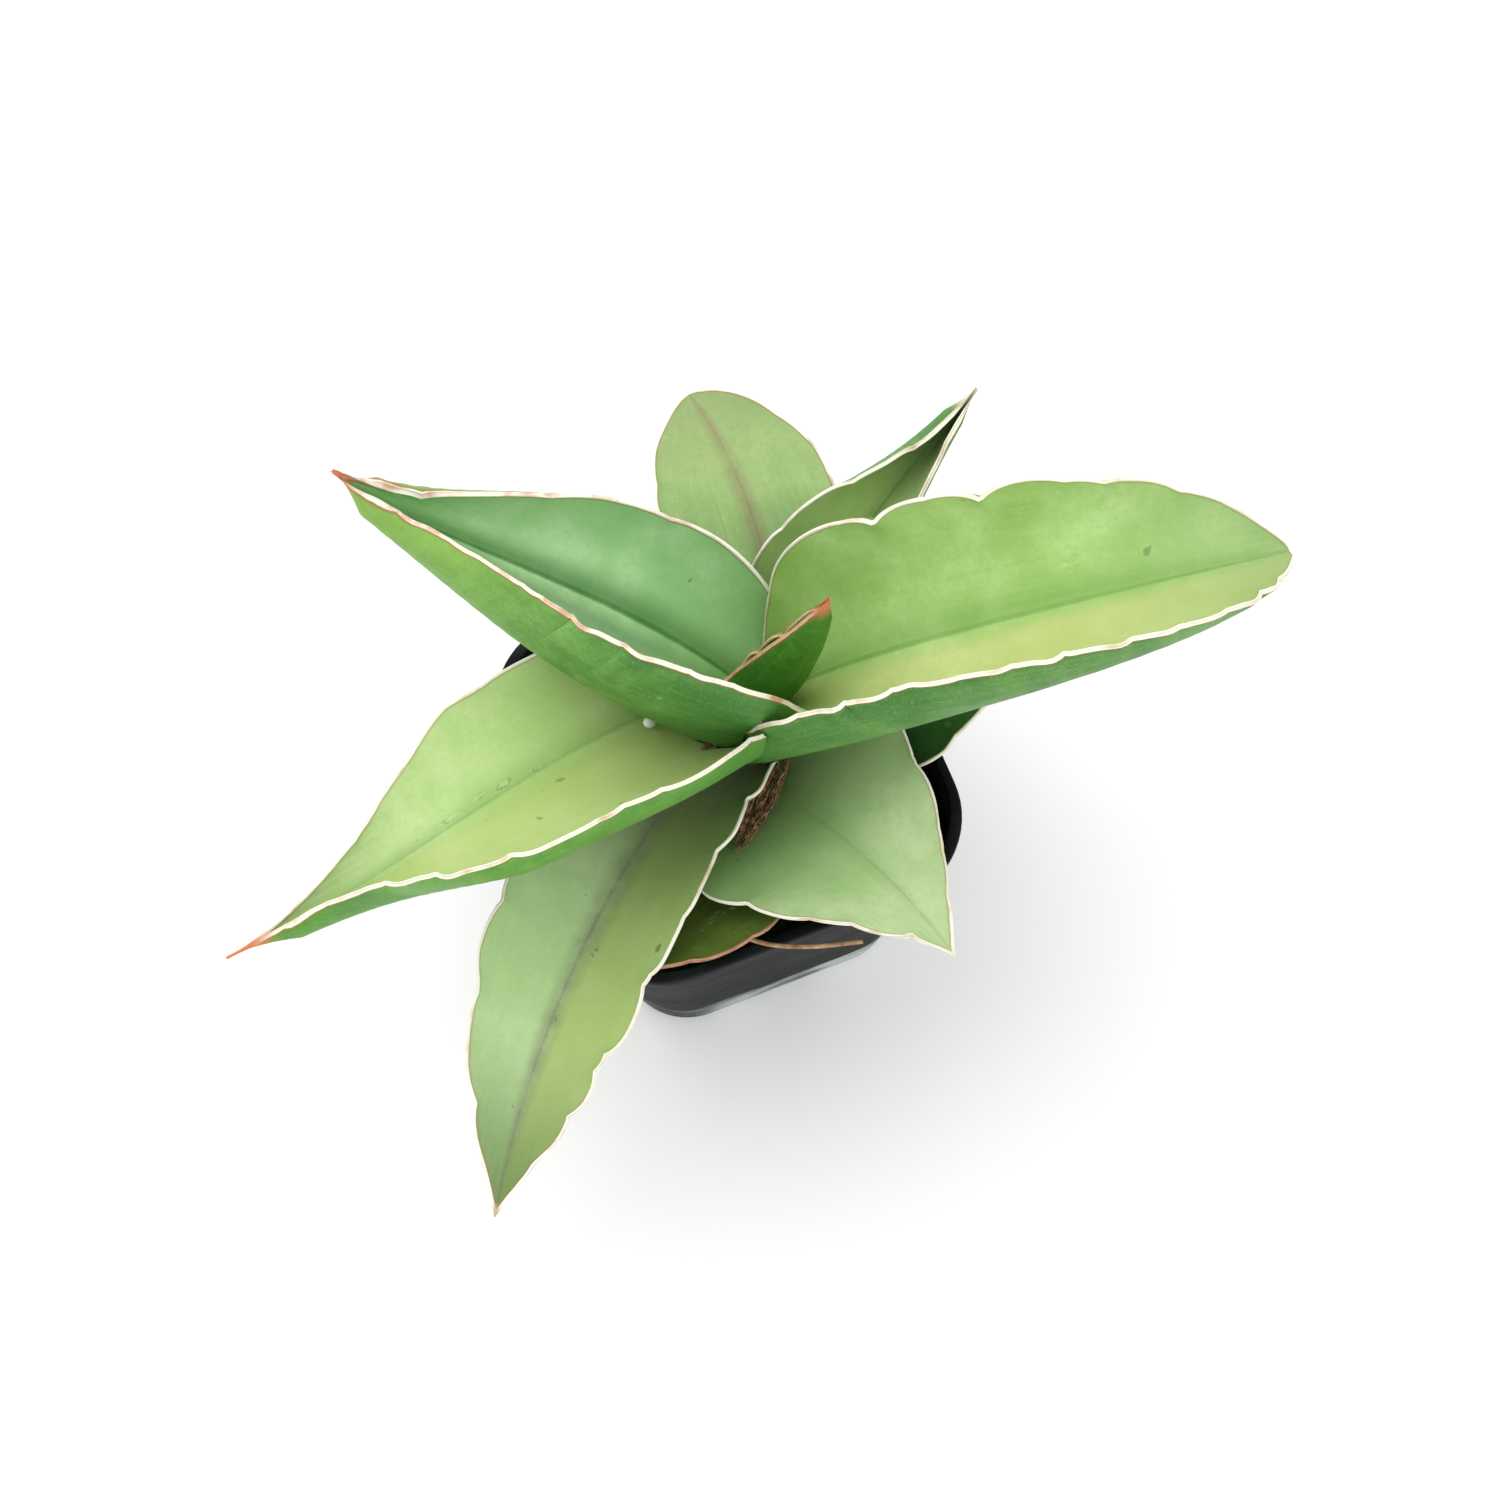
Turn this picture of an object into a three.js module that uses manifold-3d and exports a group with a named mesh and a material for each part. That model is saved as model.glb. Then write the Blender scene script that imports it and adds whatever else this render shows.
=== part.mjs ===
// A small snake plant in a rounded-square nursery pot, as separate solids in millimetres.
// +Z is up. The origin is the middle of the pot's underside, which stands on z = 0.
import * as THREE from 'three';
import { mergeVertices } from 'three/addons/utils/BufferGeometryUtils.js';
import Module from 'manifold-3d';

const wasm = await Module();
wasm.setup();

// ---- driving dimensions ----

const CLEARANCE = 0.3;            // gap left wherever two pieces meet

const POT_TURN = 21.4;            // degrees the pot is turned about the vertical
const POT_HEIGHT = 82;
const POT_TOP_SIDE = 90;          // over the rim
const POT_TOP_CORNER = 17.7;
const POT_BASE_SIDE = 71.5;
const POT_BASE_CORNER = 16.5;
const POT_WALL = 1.3;
const POT_FLOOR = 1.8;
const RIM_HEIGHT = 3;             // depth of the rolled rim
const RIM_OVERHANG = 1.1;         // how far the rim stands out past the wall
const RIM_ROUND = 0.7;            // how far the rim's top edges are taken off
const RIM_UNDERCUT = 0.4;         // height of the slope under the rim
const FOOT_BEVEL = 1.2;
const DRAIN_HOLE = 5;             // diameter
const DRAIN_CIRCLE = 19;          // distance of each drain hole from the middle
const DRAIN_HOLES = 4;

const HEADSPACE = 10;             // from the rim down to the potting mix at the wall
const MIX_CROWN = 2.2;            // how much the mix rises towards the stem
const MIX_RINGS = [               // share of the width, of the corner and of the crown's rise
  [0.72, 0.9, 0.55], [0.4, 0.8, 1]];

const STEM_AT = [8, 5];           // where the short stem stands in the pot
const STEM_RADIUS = 7.5;
const STEM_RISE = 10;             // how far the stem reaches above the rim
const STEM_DEPTH = 24;            // how far it reaches below the rim
const STEM_PROFILE = [            // share of the radius at shares of the height
  [0.55, 0], [0.9, 0.12], [1, 0.35], [0.95, 0.8], [0.6, 0.94]];

// A dried fibre lies over the front of the rim. Each point is its distance along the front
// from the middle, out past the rim's edge and above the rim.
const STRAND_POINTS = [[-14.1, -6.3, 0.9], [-7.6, -0.9, 0.9], [0.5, 3.1, 1.6], [11.6, 6.4, 2.2]];
const STRAND_RADIUS = 0.5;

const GRAIN_LEAF = 'leaf_left_lower';
const GRAIN_PLACE = { station: 3, side: 1, step: 1 };   // along and across that leaf
const GRAIN_RADIUS = 1.4;

const LEAF_STATIONS = 22;         // sections along a leaf
const ARM_POINTS = 3;             // points across each half of a leaf
const ARM_STEPS = 12;             // steps that add up the curve of each half
const LEAF_EDGE = 0.9;            // thickness of the horny margin
const TIP_THINNING = 0.7;         // share of the keel's thickness lost from base to tip
const SLIM_BELOW = 4;             // half width under which a blade grows thinner
const TIP_SLIM = 0.15;            // share of its thickness that the very tip keeps
const LEAST_FOLD = 2;             // degrees that the margins stand up at least,
const MOST_FOLD = 120;            // and at most along the blade
const MOST_SLOPE = 112;           // steepest slope of one margin

// Each leaf: where its midrib starts, from the stem's middle at the height of the rim, the way
// it points (degrees from +X), how far it sweeps round, how steeply it climbs at its base,
// middle and tip, and its length. The blade has a half width, the share of it kept at the
// base, where it is widest, and two numbers for the taper to the tip. Its halves are folded up
// by an angle at base, middle and tip; it is rolled about its midrib from base to tip; keel is
// its thickness there at the base; lean gives the left half more fold, reach more width, and
// curl under 1 bends a half more near the midrib than near the margin.
const LEAVES = [
  { name: 'leaf_heart', base: [-0.5, 1.5, 13], bearing: 4, sweep: -8, climb: [60, 78, 88],
    length: 58, halfWidth: 15, baseShare: 0.8, widest: 0.3, taper: [1.3, 1],
    fold: [88, 92, 92], roll: [-10, -5], keel: 3, lean: 0.1, reach: -0.25, curl: 0.43,
    colour: '#4f7d3c' },
  { name: 'leaf_right_large', base: [2.5, 5.5, 10.7], bearing: -7.5, sweep: 28.5,
    climb: [61, 21, -19], length: 125, halfWidth: 35, baseShare: 0.5, widest: 0.34,
    taper: [2.2, 0.93], fold: [84, 85, 52], roll: [9, 2], keel: 8, lean: -0.14,
    reach: -0.08, curl: 0.71, colour: '#8fbd5e' },
  { name: 'leaf_left_upper', base: [-2, 5, 13.4], bearing: 154, sweep: 30,
    climb: [41, 32, 73], length: 110, halfWidth: 39, baseShare: 0.63, widest: 0.26,
    taper: [2.1, 1.93], fold: [100, 90, 115], roll: [10, -15], keel: 8.5, lean: 0.1,
    reach: 0.35, curl: 0.68, colour: '#6ba660' },
  { name: 'leaf_left_lower', base: [-13.7, 3, 15.8], bearing: 210.5, sweep: 1.2,
    climb: [35, -12, 17.5], length: 116.5, halfWidth: 34, baseShare: 1, widest: 0.45,
    taper: [1.1, 1.48], fold: [74, 57, 77], roll: [-1, 37], keel: 8, lean: 0.17,
    reach: 0.35, curl: 0.74, colour: '#9cc463' },
  { name: 'dry_scale', base: [-7, -9.6, 26], bearing: 200, sweep: 0, climb: [20, 16, 12],
    length: 7, halfWidth: 2, baseShare: 0.6, widest: 0.4, taper: [1.6, 0.9],
    fold: [30, 30, 20], roll: [0, 0], keel: 0.9, lean: 0, reach: 0, curl: 0.6,
    colour: '#8a5a3a' },
  { name: 'leaf_back_right', base: [0, 7.2, 4.2], bearing: 58, sweep: -16,
    climb: [36, 28, 31], length: 82.5, halfWidth: 20, baseShare: 0.56, widest: 0.49,
    taper: [1.56, 1.27], fold: [60, 74, 115], roll: [-22, 28], keel: 5.2, lean: 0.06,
    reach: 0.05, curl: 0.28, colour: '#5f8f4a' },
  { name: 'leaf_back', base: [5, 5.2, 2.6], bearing: 92, sweep: 29.5,
    climb: [40, 13, -11], length: 78.5, halfWidth: 21.5, baseShare: 0.6, widest: 0.47,
    taper: [2.36, 0.77], fold: [47, 28, 17], roll: [19, -2], keel: 5, lean: 0.02,
    reach: 0.07, curl: 0.55, colour: '#93ba6c' },
  { name: 'leaf_front', base: [-10, -0.7, -2], bearing: 235, sweep: 23,
    climb: [16, -0.5, -22], length: 118, halfWidth: 25, baseShare: 0.77, widest: 0.37,
    taper: [2.1, 1.24], fold: [42, 48, 19], roll: [6, 1], keel: 4, lean: 0.15,
    reach: 0.08, curl: 0.48, colour: '#83ad68' },
  { name: 'dry_sheath', base: [1, -11, 4.2], bearing: 250, sweep: 4, climb: [10, 13, 4],
    length: 19, halfWidth: 4.2, baseShare: 0.7, widest: 0.4, taper: [1.7, 0.8],
    fold: [45, 45, 30], roll: [0, 0], keel: 1.3, lean: 0, reach: 0, curl: 0.6,
    colour: '#6e4630' },
  { name: 'leaf_front_right', base: [-1, -10.9, -2.6], bearing: 322, sweep: -12.5,
    climb: [31, 7, -24], length: 62, halfWidth: 30.5, baseShare: 0.6, widest: 0.29,
    taper: [1.58, 1.35], fold: [37, 28, 41], roll: [2, -8], keel: 4.5, lean: -0.01,
    reach: -0.09, curl: 0.54, colour: '#7fa765' },
  { name: 'leaf_under_right', base: [11.5, -3.7, -2.3], bearing: 46, sweep: -44,
    climb: [16, 13, 0], length: 69.5, halfWidth: 28.5, baseShare: 0.61, widest: 0.36,
    taper: [1.17, 0.58], fold: [33, 32, 33], roll: [4, -8], keel: 4, lean: -0.02,
    reach: 0.17, curl: 0.51, colour: '#3f6b2f' },
  { name: 'leaf_old_low', base: [2.5, -14.2, -0.4], bearing: 226, sweep: 2,
    climb: [1.5, 9, 14], length: 62.5, halfWidth: 22.5, baseShare: 0.6, widest: 0.44,
    taper: [2.47, 0.5], fold: [19, 8, 45], roll: [7, 31], keel: 3, lean: 0.02,
    reach: 0.07, curl: 0.53, colour: '#6d7d3f' },
];

// ---- solids ----

const radians = THREE.MathUtils.degToRad;

function meshFromRows(rows, closeRow, capStart, capEnd) {
  // Joins equal rows of points into one closed surface. Each cap is a list of index triples.
  const count = rows[0].length;
  const index = [];
  for (let row = 0; row + 1 < rows.length; row++) {
    for (let k = 0; k < (closeRow ? count : count - 1); k++) {
      const a = row * count + k;
      const b = row * count + ((k + 1) % count);
      index.push(a, b, b + count, a, b + count, a + count);
    }
  }
  const last = (rows.length - 1) * count;
  capStart.forEach(([a, b, c]) => index.push(a, b, c));
  capEnd.forEach(([a, b, c]) => index.push(last + a, last + b, last + c));
  const geometry = new THREE.BufferGeometry();
  const positions = rows.flat().flatMap((point) => point.toArray());
  geometry.setAttribute('position', new THREE.Float32BufferAttribute(positions, 3));
  geometry.setIndex(index);
  return geometry;
}

function toSolid(geometry) {
  const bare = geometry.clone();
  bare.deleteAttribute('normal');
  bare.deleteAttribute('uv');
  const merged = mergeVertices(bare, 1e-5);
  return new wasm.Manifold(new wasm.Mesh({
    numProp: 3,
    vertProperties: new Float32Array(merged.attributes.position.array),
    triVerts: new Uint32Array(merged.index.array),
  }));
}

function toGeometry(solid) {
  const mesh = solid.getMesh();
  const geometry = new THREE.BufferGeometry();
  geometry.setAttribute('position', new THREE.BufferAttribute(mesh.vertProperties.slice(), 3));
  geometry.setIndex(new THREE.BufferAttribute(mesh.triVerts.slice(), 1));
  return geometry;
}

function largestPiece(solid) {
  return solid.decompose().reduce((best, one) => (one.volume() > best.volume() ? one : best));
}

function cutClear(solid, neighbours) {
  // Takes away what the grown neighbours cover, so that a gap of CLEARANCE is left.
  let rest = solid;
  for (const neighbour of neighbours) {
    if (rest.intersect(neighbour).volume() > 0) rest = rest.subtract(neighbour);
  }
  return rest === solid ? solid : largestPiece(rest);
}

// ---- leaves ----

function throughThree([start, middle, end], s) {
  return start * (1 - s) * (1 - 2 * s) + 4 * middle * s * (1 - s) + end * s * (2 * s - 1);
}

function leafBase(leaf) {
  return new THREE.Vector3(...leaf.base).add(new THREE.Vector3(...STEM_AT, POT_HEIGHT));
}

function leafDirection(leaf, s) {
  const bearing = radians(leaf.bearing + leaf.sweep * s);
  const climb = radians(throughThree(leaf.climb, s));
  return new THREE.Vector3(
    Math.cos(climb) * Math.cos(bearing), Math.cos(climb) * Math.sin(bearing), Math.sin(climb));
}

function leafHalfWidth(leaf, s) {
  const swell = Math.sin((Math.PI / 2) * Math.min(s / leaf.widest, 1));
  const beyond = Math.max((s - leaf.widest) / (1 - leaf.widest), 0);
  const tip = Math.max(1 - beyond ** leaf.taper[0], 0) ** leaf.taper[1];
  return leaf.halfWidth * (leaf.baseShare + (1 - leaf.baseShare) * swell) * tip;
}

function leafArm(leaf, s, side, count = ARM_POINTS) {
  // Points from the midrib to one margin, each with its distance across, height and slope.
  const fold = THREE.MathUtils.clamp(throughThree(leaf.fold, s), LEAST_FOLD, MOST_FOLD);
  const margin = Math.min(radians(fold) * (1 + side * leaf.lean), radians(MOST_SLOPE));
  const reach = leafHalfWidth(leaf, s) * (1 + side * leaf.reach);
  const points = [{ share: 0, across: 0, height: 0, slope: 0 }];
  let across = 0;
  let height = 0;
  for (let step = 0; step < ARM_STEPS; step++) {
    const slope = margin * ((step + 0.5) / ARM_STEPS) ** leaf.curl;
    across += (Math.cos(slope) * reach) / ARM_STEPS;
    height += (Math.sin(slope) * reach) / ARM_STEPS;
    const share = (step + 1) / ARM_STEPS;
    if ((step + 1) % (ARM_STEPS / count) === 0) {
      points.push({ share, across, height, slope: margin * share ** leaf.curl });
    }
  }
  return points;
}

function leafFrame(leaf, station) {
  // The midrib's point, direction, and the directions across the blade and up from its face.
  const s = station / LEAF_STATIONS;
  const centre = leafBase(leaf);
  for (let step = 0; step < station; step++) {
    const middle = (step + 0.5) / LEAF_STATIONS;
    centre.addScaledVector(leafDirection(leaf, middle), leaf.length / LEAF_STATIONS);
  }
  const along = leafDirection(leaf, s);
  const level = new THREE.Vector3(-along.y, along.x, 0).normalize();
  const upright = along.clone().cross(level);
  const roll = radians(THREE.MathUtils.lerp(leaf.roll[0], leaf.roll[1], s));
  const across = level.clone().multiplyScalar(Math.cos(roll))
    .addScaledVector(upright, Math.sin(roll));
  const up = upright.clone().multiplyScalar(Math.cos(roll))
    .addScaledVector(level, -Math.sin(roll));
  return { centre, along, across, up };
}

function armPlace({ centre, across, up }, side, arm) {
  // A point of an arm on the blade's face, with the outward and face directions there.
  const outward = across.clone().multiplyScalar(side * Math.cos(arm.slope))
    .addScaledVector(up, Math.sin(arm.slope));
  const normal = across.clone().multiplyScalar(-side * Math.sin(arm.slope))
    .addScaledVector(up, Math.cos(arm.slope));
  const point = centre.clone().addScaledVector(across, side * arm.across)
    .addScaledVector(up, arm.height);
  return { point, outward, normal };
}

function leafGeometry(leaf, grow = 0) {
  const rows = [];
  for (let station = 0; station <= LEAF_STATIONS; station++) {
    const s = station / LEAF_STATIONS;
    const frame = leafFrame(leaf, station);
    const slim = THREE.MathUtils.clamp(leafHalfWidth(leaf, s) / SLIM_BELOW, TIP_SLIM, 1);
    const keel = Math.max(leaf.keel * (1 - TIP_THINNING * s), LEAF_EDGE);
    if (station === 0) frame.centre.addScaledVector(frame.along, -grow);
    if (station === LEAF_STATIONS) frame.centre.addScaledVector(frame.along, 2 * grow);

    const face = [];
    const back = [];
    for (const side of [-1, 1]) {
      for (const arm of leafArm(leaf, s, side)) {
        if (side > 0 && arm.share === 0) continue;
        const { point, outward, normal } = armPlace(frame, side, arm);
        const thickness = slim * (LEAF_EDGE + (keel - LEAF_EDGE) * (1 - arm.share ** 2));
        if (arm.share === 1) point.addScaledVector(outward, grow);
        face.push(point.clone().addScaledVector(normal, grow));
        back.push(point.clone().addScaledVector(normal, -thickness - grow));
      }
      if (side < 0) {
        face.reverse();
        back.reverse();
      }
    }
    const ring = [...face.reverse(), ...back];
    rows.push(station < LEAF_STATIONS ? ring : ring.map(() => frame.centre.clone()));
  }
  const ringCount = rows[0].length;
  const cap = [];
  for (let k = 0; k + 1 < ringCount / 2; k++) {
    const mirror = ringCount - 1 - k;
    cap.push([k, mirror, mirror - 1], [k, mirror - 1, k + 1]);
  }
  return meshFromRows(rows, true, cap, []);
}

// ---- pot, mix and stem ----

function roundedSquareRow(side, corner, z) {
  // A level rounded square, turned as the pot is, with the same count of points at any size.
  const radius = Math.min(corner, side / 2 - 0.01);
  const reach = side / 2 - radius;
  const cornerSteps = 6;
  const row = [];
  for (let quarter = 0; quarter < 4; quarter++) {
    for (let step = 0; step <= cornerSteps; step++) {
      const angle = radians(90 * (quarter + step / cornerSteps));
      const middle = radians(90 * quarter + 45);
      const point = new THREE.Vector3(
        Math.SQRT2 * reach * Math.cos(middle) + radius * Math.cos(angle),
        Math.SQRT2 * reach * Math.sin(middle) + radius * Math.sin(angle), z);
      row.push(point.applyAxisAngle(new THREE.Vector3(0, 0, 1), radians(POT_TURN)));
    }
  }
  return row;
}

function fanCap(count, upward) {
  const cap = [];
  for (let k = 1; k + 1 < count; k++) cap.push(upward ? [0, k, k + 1] : [0, k + 1, k]);
  return cap;
}

function loftLevels(levels) {
  const rows = levels.map(([side, corner, z]) => roundedSquareRow(side, corner, z));
  const count = rows[0].length;
  return meshFromRows(rows, true, fanCap(count, false), fanCap(count, true));
}

function potSide(z) {
  return THREE.MathUtils.lerp(POT_BASE_SIDE, POT_TOP_SIDE - 2 * RIM_OVERHANG, z / POT_HEIGHT);
}

function potCorner(z) {
  return THREE.MathUtils.lerp(POT_BASE_CORNER, POT_TOP_CORNER - RIM_OVERHANG, z / POT_HEIGHT);
}

function nurseryPot(grow = 0) {
  const rimFoot = POT_HEIGHT - RIM_HEIGHT;
  const outer = (side, corner, z) => [side + 2 * grow, corner + grow, z];
  const wall = (z) => outer(potSide(z), potCorner(z), z);
  const inner = (z) => outer(potSide(z) - 2 * (POT_WALL + 2 * grow), potCorner(z) - POT_WALL, z);
  const shell = toSolid(loftLevels([
    outer(POT_BASE_SIDE - 2 * FOOT_BEVEL, POT_BASE_CORNER - FOOT_BEVEL, -grow),
    wall(FOOT_BEVEL),
    wall(rimFoot - grow),
    outer(POT_TOP_SIDE, POT_TOP_CORNER, rimFoot + RIM_UNDERCUT - grow),
    outer(POT_TOP_SIDE, POT_TOP_CORNER, POT_HEIGHT - RIM_ROUND),
    outer(POT_TOP_SIDE - 2 * RIM_ROUND, POT_TOP_CORNER - RIM_ROUND, POT_HEIGHT + grow),
    outer(potSide(POT_HEIGHT) - POT_WALL, potCorner(POT_HEIGHT) - POT_WALL / 2,
      POT_HEIGHT + grow),
    inner(POT_HEIGHT - RIM_ROUND),
    inner(POT_FLOOR + grow),
  ]));
  const holes = [];
  for (let k = 0; k < DRAIN_HOLES; k++) {
    const angle = radians(POT_TURN + (360 / DRAIN_HOLES) * k);
    const hole = new THREE.CylinderGeometry(DRAIN_HOLE / 2, DRAIN_HOLE / 2, 4 * POT_FLOOR, 12);
    hole.rotateX(Math.PI / 2);
    hole.translate(DRAIN_CIRCLE * Math.cos(angle), DRAIN_CIRCLE * Math.sin(angle), 0);
    holes.push(toSolid(hole));
  }
  return holes.reduce((pot, hole) => pot.subtract(hole), shell);
}

function pottingMix() {
  const inside = (z) => [
    potSide(z) - 2 * (POT_WALL + CLEARANCE), potCorner(z) - POT_WALL - CLEARANCE, z];
  const top = POT_HEIGHT - HEADSPACE;
  const [side, corner] = inside(top);
  return toSolid(loftLevels([
    inside(POT_FLOOR + CLEARANCE),
    inside(top),
    ...MIX_RINGS.map(([width, round, rise]) => [
      side * width, corner * round, top + MIX_CROWN * rise]),
  ]));
}

function crownStem(grow = 0) {
  const foot = POT_HEIGHT - STEM_DEPTH;
  const height = STEM_DEPTH + STEM_RISE;
  const profile = [[0, foot - grow]];
  for (const [width, rise] of STEM_PROFILE) {
    profile.push([STEM_RADIUS * width + grow, foot + height * rise - (rise === 0 ? grow : 0)]);
  }
  profile.push([0, foot + height + grow]);
  const stem = new THREE.LatheGeometry(profile.map(([r, z]) => new THREE.Vector2(r, z)), 20);
  stem.rotateX(Math.PI / 2);
  stem.translate(STEM_AT[0], STEM_AT[1], 0);
  return toSolid(stem);
}

function dryStrand() {
  const round = new THREE.Shape();
  round.absarc(0, 0, STRAND_RADIUS, 0, 2 * Math.PI);
  const vertical = new THREE.Vector3(0, 0, 1);
  const points = STRAND_POINTS.map(([along, out, above]) => new THREE.Vector3(
    along, -POT_TOP_SIDE / 2 - out, POT_HEIGHT + above).applyAxisAngle(
    vertical, radians(POT_TURN)));
  return toSolid(new THREE.ExtrudeGeometry(round, {
    steps: 14, curveSegments: 8, bevelEnabled: false,
    extrudePath: new THREE.CatmullRomCurve3(points) }));
}

function perliteGrain() {
  const leaf = LEAVES.find(({ name }) => name === GRAIN_LEAF);
  const { station, side, step } = GRAIN_PLACE;
  const arm = leafArm(leaf, station / LEAF_STATIONS, side, ARM_STEPS)[step];
  const { point, normal } = armPlace(leafFrame(leaf, station), side, arm);
  const centre = point.addScaledVector(normal, GRAIN_RADIUS + CLEARANCE);
  const grain = new THREE.IcosahedronGeometry(GRAIN_RADIUS, 1);
  grain.scale(1, 0.85, 0.9);
  grain.translate(centre.x, centre.y, centre.z);
  return toSolid(grain);
}

// ---- assembly ----

const plant = new THREE.Group();

function addPiece(name, solid, colour, roughness) {
  const material = new THREE.MeshStandardMaterial({ color: colour, roughness, metalness: 0 });
  const piece = new THREE.Mesh(toGeometry(solid), material);
  piece.name = name;
  plant.add(piece);
}

// The leaves run from the youngest, in the heart, to the oldest, and each older leaf is cut
// clear of the younger ones that it wraps and of the pot's rim.
const grownPot = nurseryPot(CLEARANCE);
const grownLeaves = [];
for (const leaf of LEAVES) {
  const solid = cutClear(toSolid(leafGeometry(leaf)), [grownPot, ...grownLeaves]);
  addPiece(leaf.name, solid, leaf.colour, 0.45);
  grownLeaves.push(toSolid(leafGeometry(leaf, CLEARANCE)));
}
addPiece('crown_stem', cutClear(crownStem(), grownLeaves), '#8a6a45', 0.8);
addPiece('perlite_grain', cutClear(perliteGrain(), grownLeaves), '#ecebe4', 0.9);
addPiece('dry_strand', dryStrand(), '#b98a5c', 0.8);
addPiece('nursery_pot', nurseryPot(), '#26282a', 0.4);
addPiece('potting_mix', cutClear(pottingMix(), [crownStem(CLEARANCE), ...grownLeaves]), '#2b211b', 0.95);

export default plant;
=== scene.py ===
from math import cos, sin, radians, pi

import bmesh
import bpy
import numpy as np
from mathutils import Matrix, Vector, noise
from mathutils.bvhtree import BVHTree


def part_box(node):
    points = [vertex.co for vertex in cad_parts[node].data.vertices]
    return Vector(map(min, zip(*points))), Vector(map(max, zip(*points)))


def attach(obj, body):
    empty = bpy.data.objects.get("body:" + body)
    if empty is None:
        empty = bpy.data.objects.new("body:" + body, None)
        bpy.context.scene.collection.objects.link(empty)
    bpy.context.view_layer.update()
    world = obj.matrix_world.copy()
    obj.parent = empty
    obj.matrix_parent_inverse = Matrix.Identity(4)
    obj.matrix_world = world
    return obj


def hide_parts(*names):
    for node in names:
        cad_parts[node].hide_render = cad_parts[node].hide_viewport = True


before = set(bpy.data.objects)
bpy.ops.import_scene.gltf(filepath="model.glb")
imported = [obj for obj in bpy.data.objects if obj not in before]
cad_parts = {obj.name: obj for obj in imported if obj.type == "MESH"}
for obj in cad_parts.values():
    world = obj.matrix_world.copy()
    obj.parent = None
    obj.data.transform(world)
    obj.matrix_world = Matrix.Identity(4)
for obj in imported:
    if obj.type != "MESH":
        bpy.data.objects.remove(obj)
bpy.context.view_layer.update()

# ---- The surface, light and view ----
# A pale matt table top, lit from overhead and a little from the left by large soft lights.
# The view looks steeply down on the plant from in front of it.

MM = 0.001
RIM_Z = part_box("nursery_pot")[1].z
VIEW_ELEVATION = radians(70)
VIEW_DISTANCE = 450 * MM
VIEW_LENS = 48
VIEW_RIGHT = 6.6 * MM          # the view aims this far to the right of the pot's middle
VIEW_DOWN = 0.4 * MM           # and this far below the middle of its rim
LIGHT_AIM = 80 * MM            # the lights point at this height above the table
TABLE_SIZE = 4
ROOM_LIGHT = 1.08

scene = bpy.context.scene
scene.view_settings.view_transform = "Standard"
scene.view_settings.look = "None"


def deselect_all():
    if bpy.context.object and bpy.context.object.mode != "OBJECT":
        bpy.ops.object.mode_set(mode="OBJECT")
    bpy.ops.object.select_all(action="DESELECT")


def new_material(name):
    material = bpy.data.materials.new(name)
    material.use_nodes = True
    return material, material.node_tree.nodes["Principled BSDF"]


def join(value, socket):
    """Links a value that is a node's output to an input, or sets the input to a plain value."""
    if isinstance(value, bpy.types.NodeSocket):
        socket.id_data.links.new(value, socket)
    elif socket.type == "RGBA":
        socket.default_value = (*value, 1)
    else:
        socket.default_value = value


def set_inputs(node, **inputs):
    """Sets or links a node's inputs by their names, with an underscore for each space."""
    for key, value in inputs.items():
        join(value, node.inputs[key.replace("_", " ")])
    return node


deselect_all()
bpy.ops.mesh.primitive_plane_add(size=TABLE_SIZE, location=(0, 0, 0))
table_top = bpy.context.object
table_top.name = "table_top"
material, shader = new_material("pale_table")
set_inputs(shader, Base_Color=(0.85, 0.85, 0.85), Roughness=0.7, Specular_IOR_Level=0.2)
table_top.data.materials.append(material)

world = bpy.data.worlds.new("soft_room")
world.use_nodes = True
set_inputs(world.node_tree.nodes["Background"], Color=(1, 1, 1), Strength=ROOM_LIGHT)
scene.world = world


def soft_light(name, place, size, power):
    bpy.ops.object.light_add(type="AREA", location=place)
    light = bpy.context.object
    light.name = name
    light.data.shape = "DISK"
    light.data.size = size
    light.data.energy = power
    aim = Vector((0, 0, LIGHT_AIM)) - Vector(place)
    light.rotation_euler = aim.to_track_quat("-Z", "Y").to_euler()


soft_light("key_softbox", (-0.45, 0.4, 1.15), 1.3, 8.0)
soft_light("fill_softbox", (0.7, -0.5, 1.0), 1.1, 2.2)

back = Vector((0, -cos(VIEW_ELEVATION), sin(VIEW_ELEVATION)))
above = Vector((0, sin(VIEW_ELEVATION), cos(VIEW_ELEVATION)))
camera_data = bpy.data.cameras.new("camera")
camera_data.lens = VIEW_LENS
camera_data.sensor_width = 36
camera_data.clip_start = 0.01
camera = bpy.data.objects.new("camera", camera_data)
scene.collection.objects.link(camera)
camera.location = Vector((VIEW_RIGHT, 0, RIM_Z)) + VIEW_DISTANCE * back - VIEW_DOWN * above
camera.rotation_euler = (-back).to_track_quat("-Z", "Y").to_euler()
scene.camera = camera


# ---- The nursery pot ----
# One thin-walled moulding of black polypropylene, a rounded square that narrows downwards,
# with a rolled rim at the top and four drain holes in its floor.

POT_TURN = radians(21.4)
POT_TOP_SIDE = 90 * MM
POT_BASE_SIDE = 71.5 * MM
POT_CORNER = 17 * MM
POT_WALL = 1.3 * MM
POT_FLOOR = 1.8 * MM
POT_FOOT = 1.2 * MM            # the radius that rounds its foot
RIM_HEIGHT = 3 * MM
RIM_OVERHANG = 1.1 * MM
DRAIN_HOLE = 5 * MM
DRAIN_CIRCLE = 19 * MM


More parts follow.
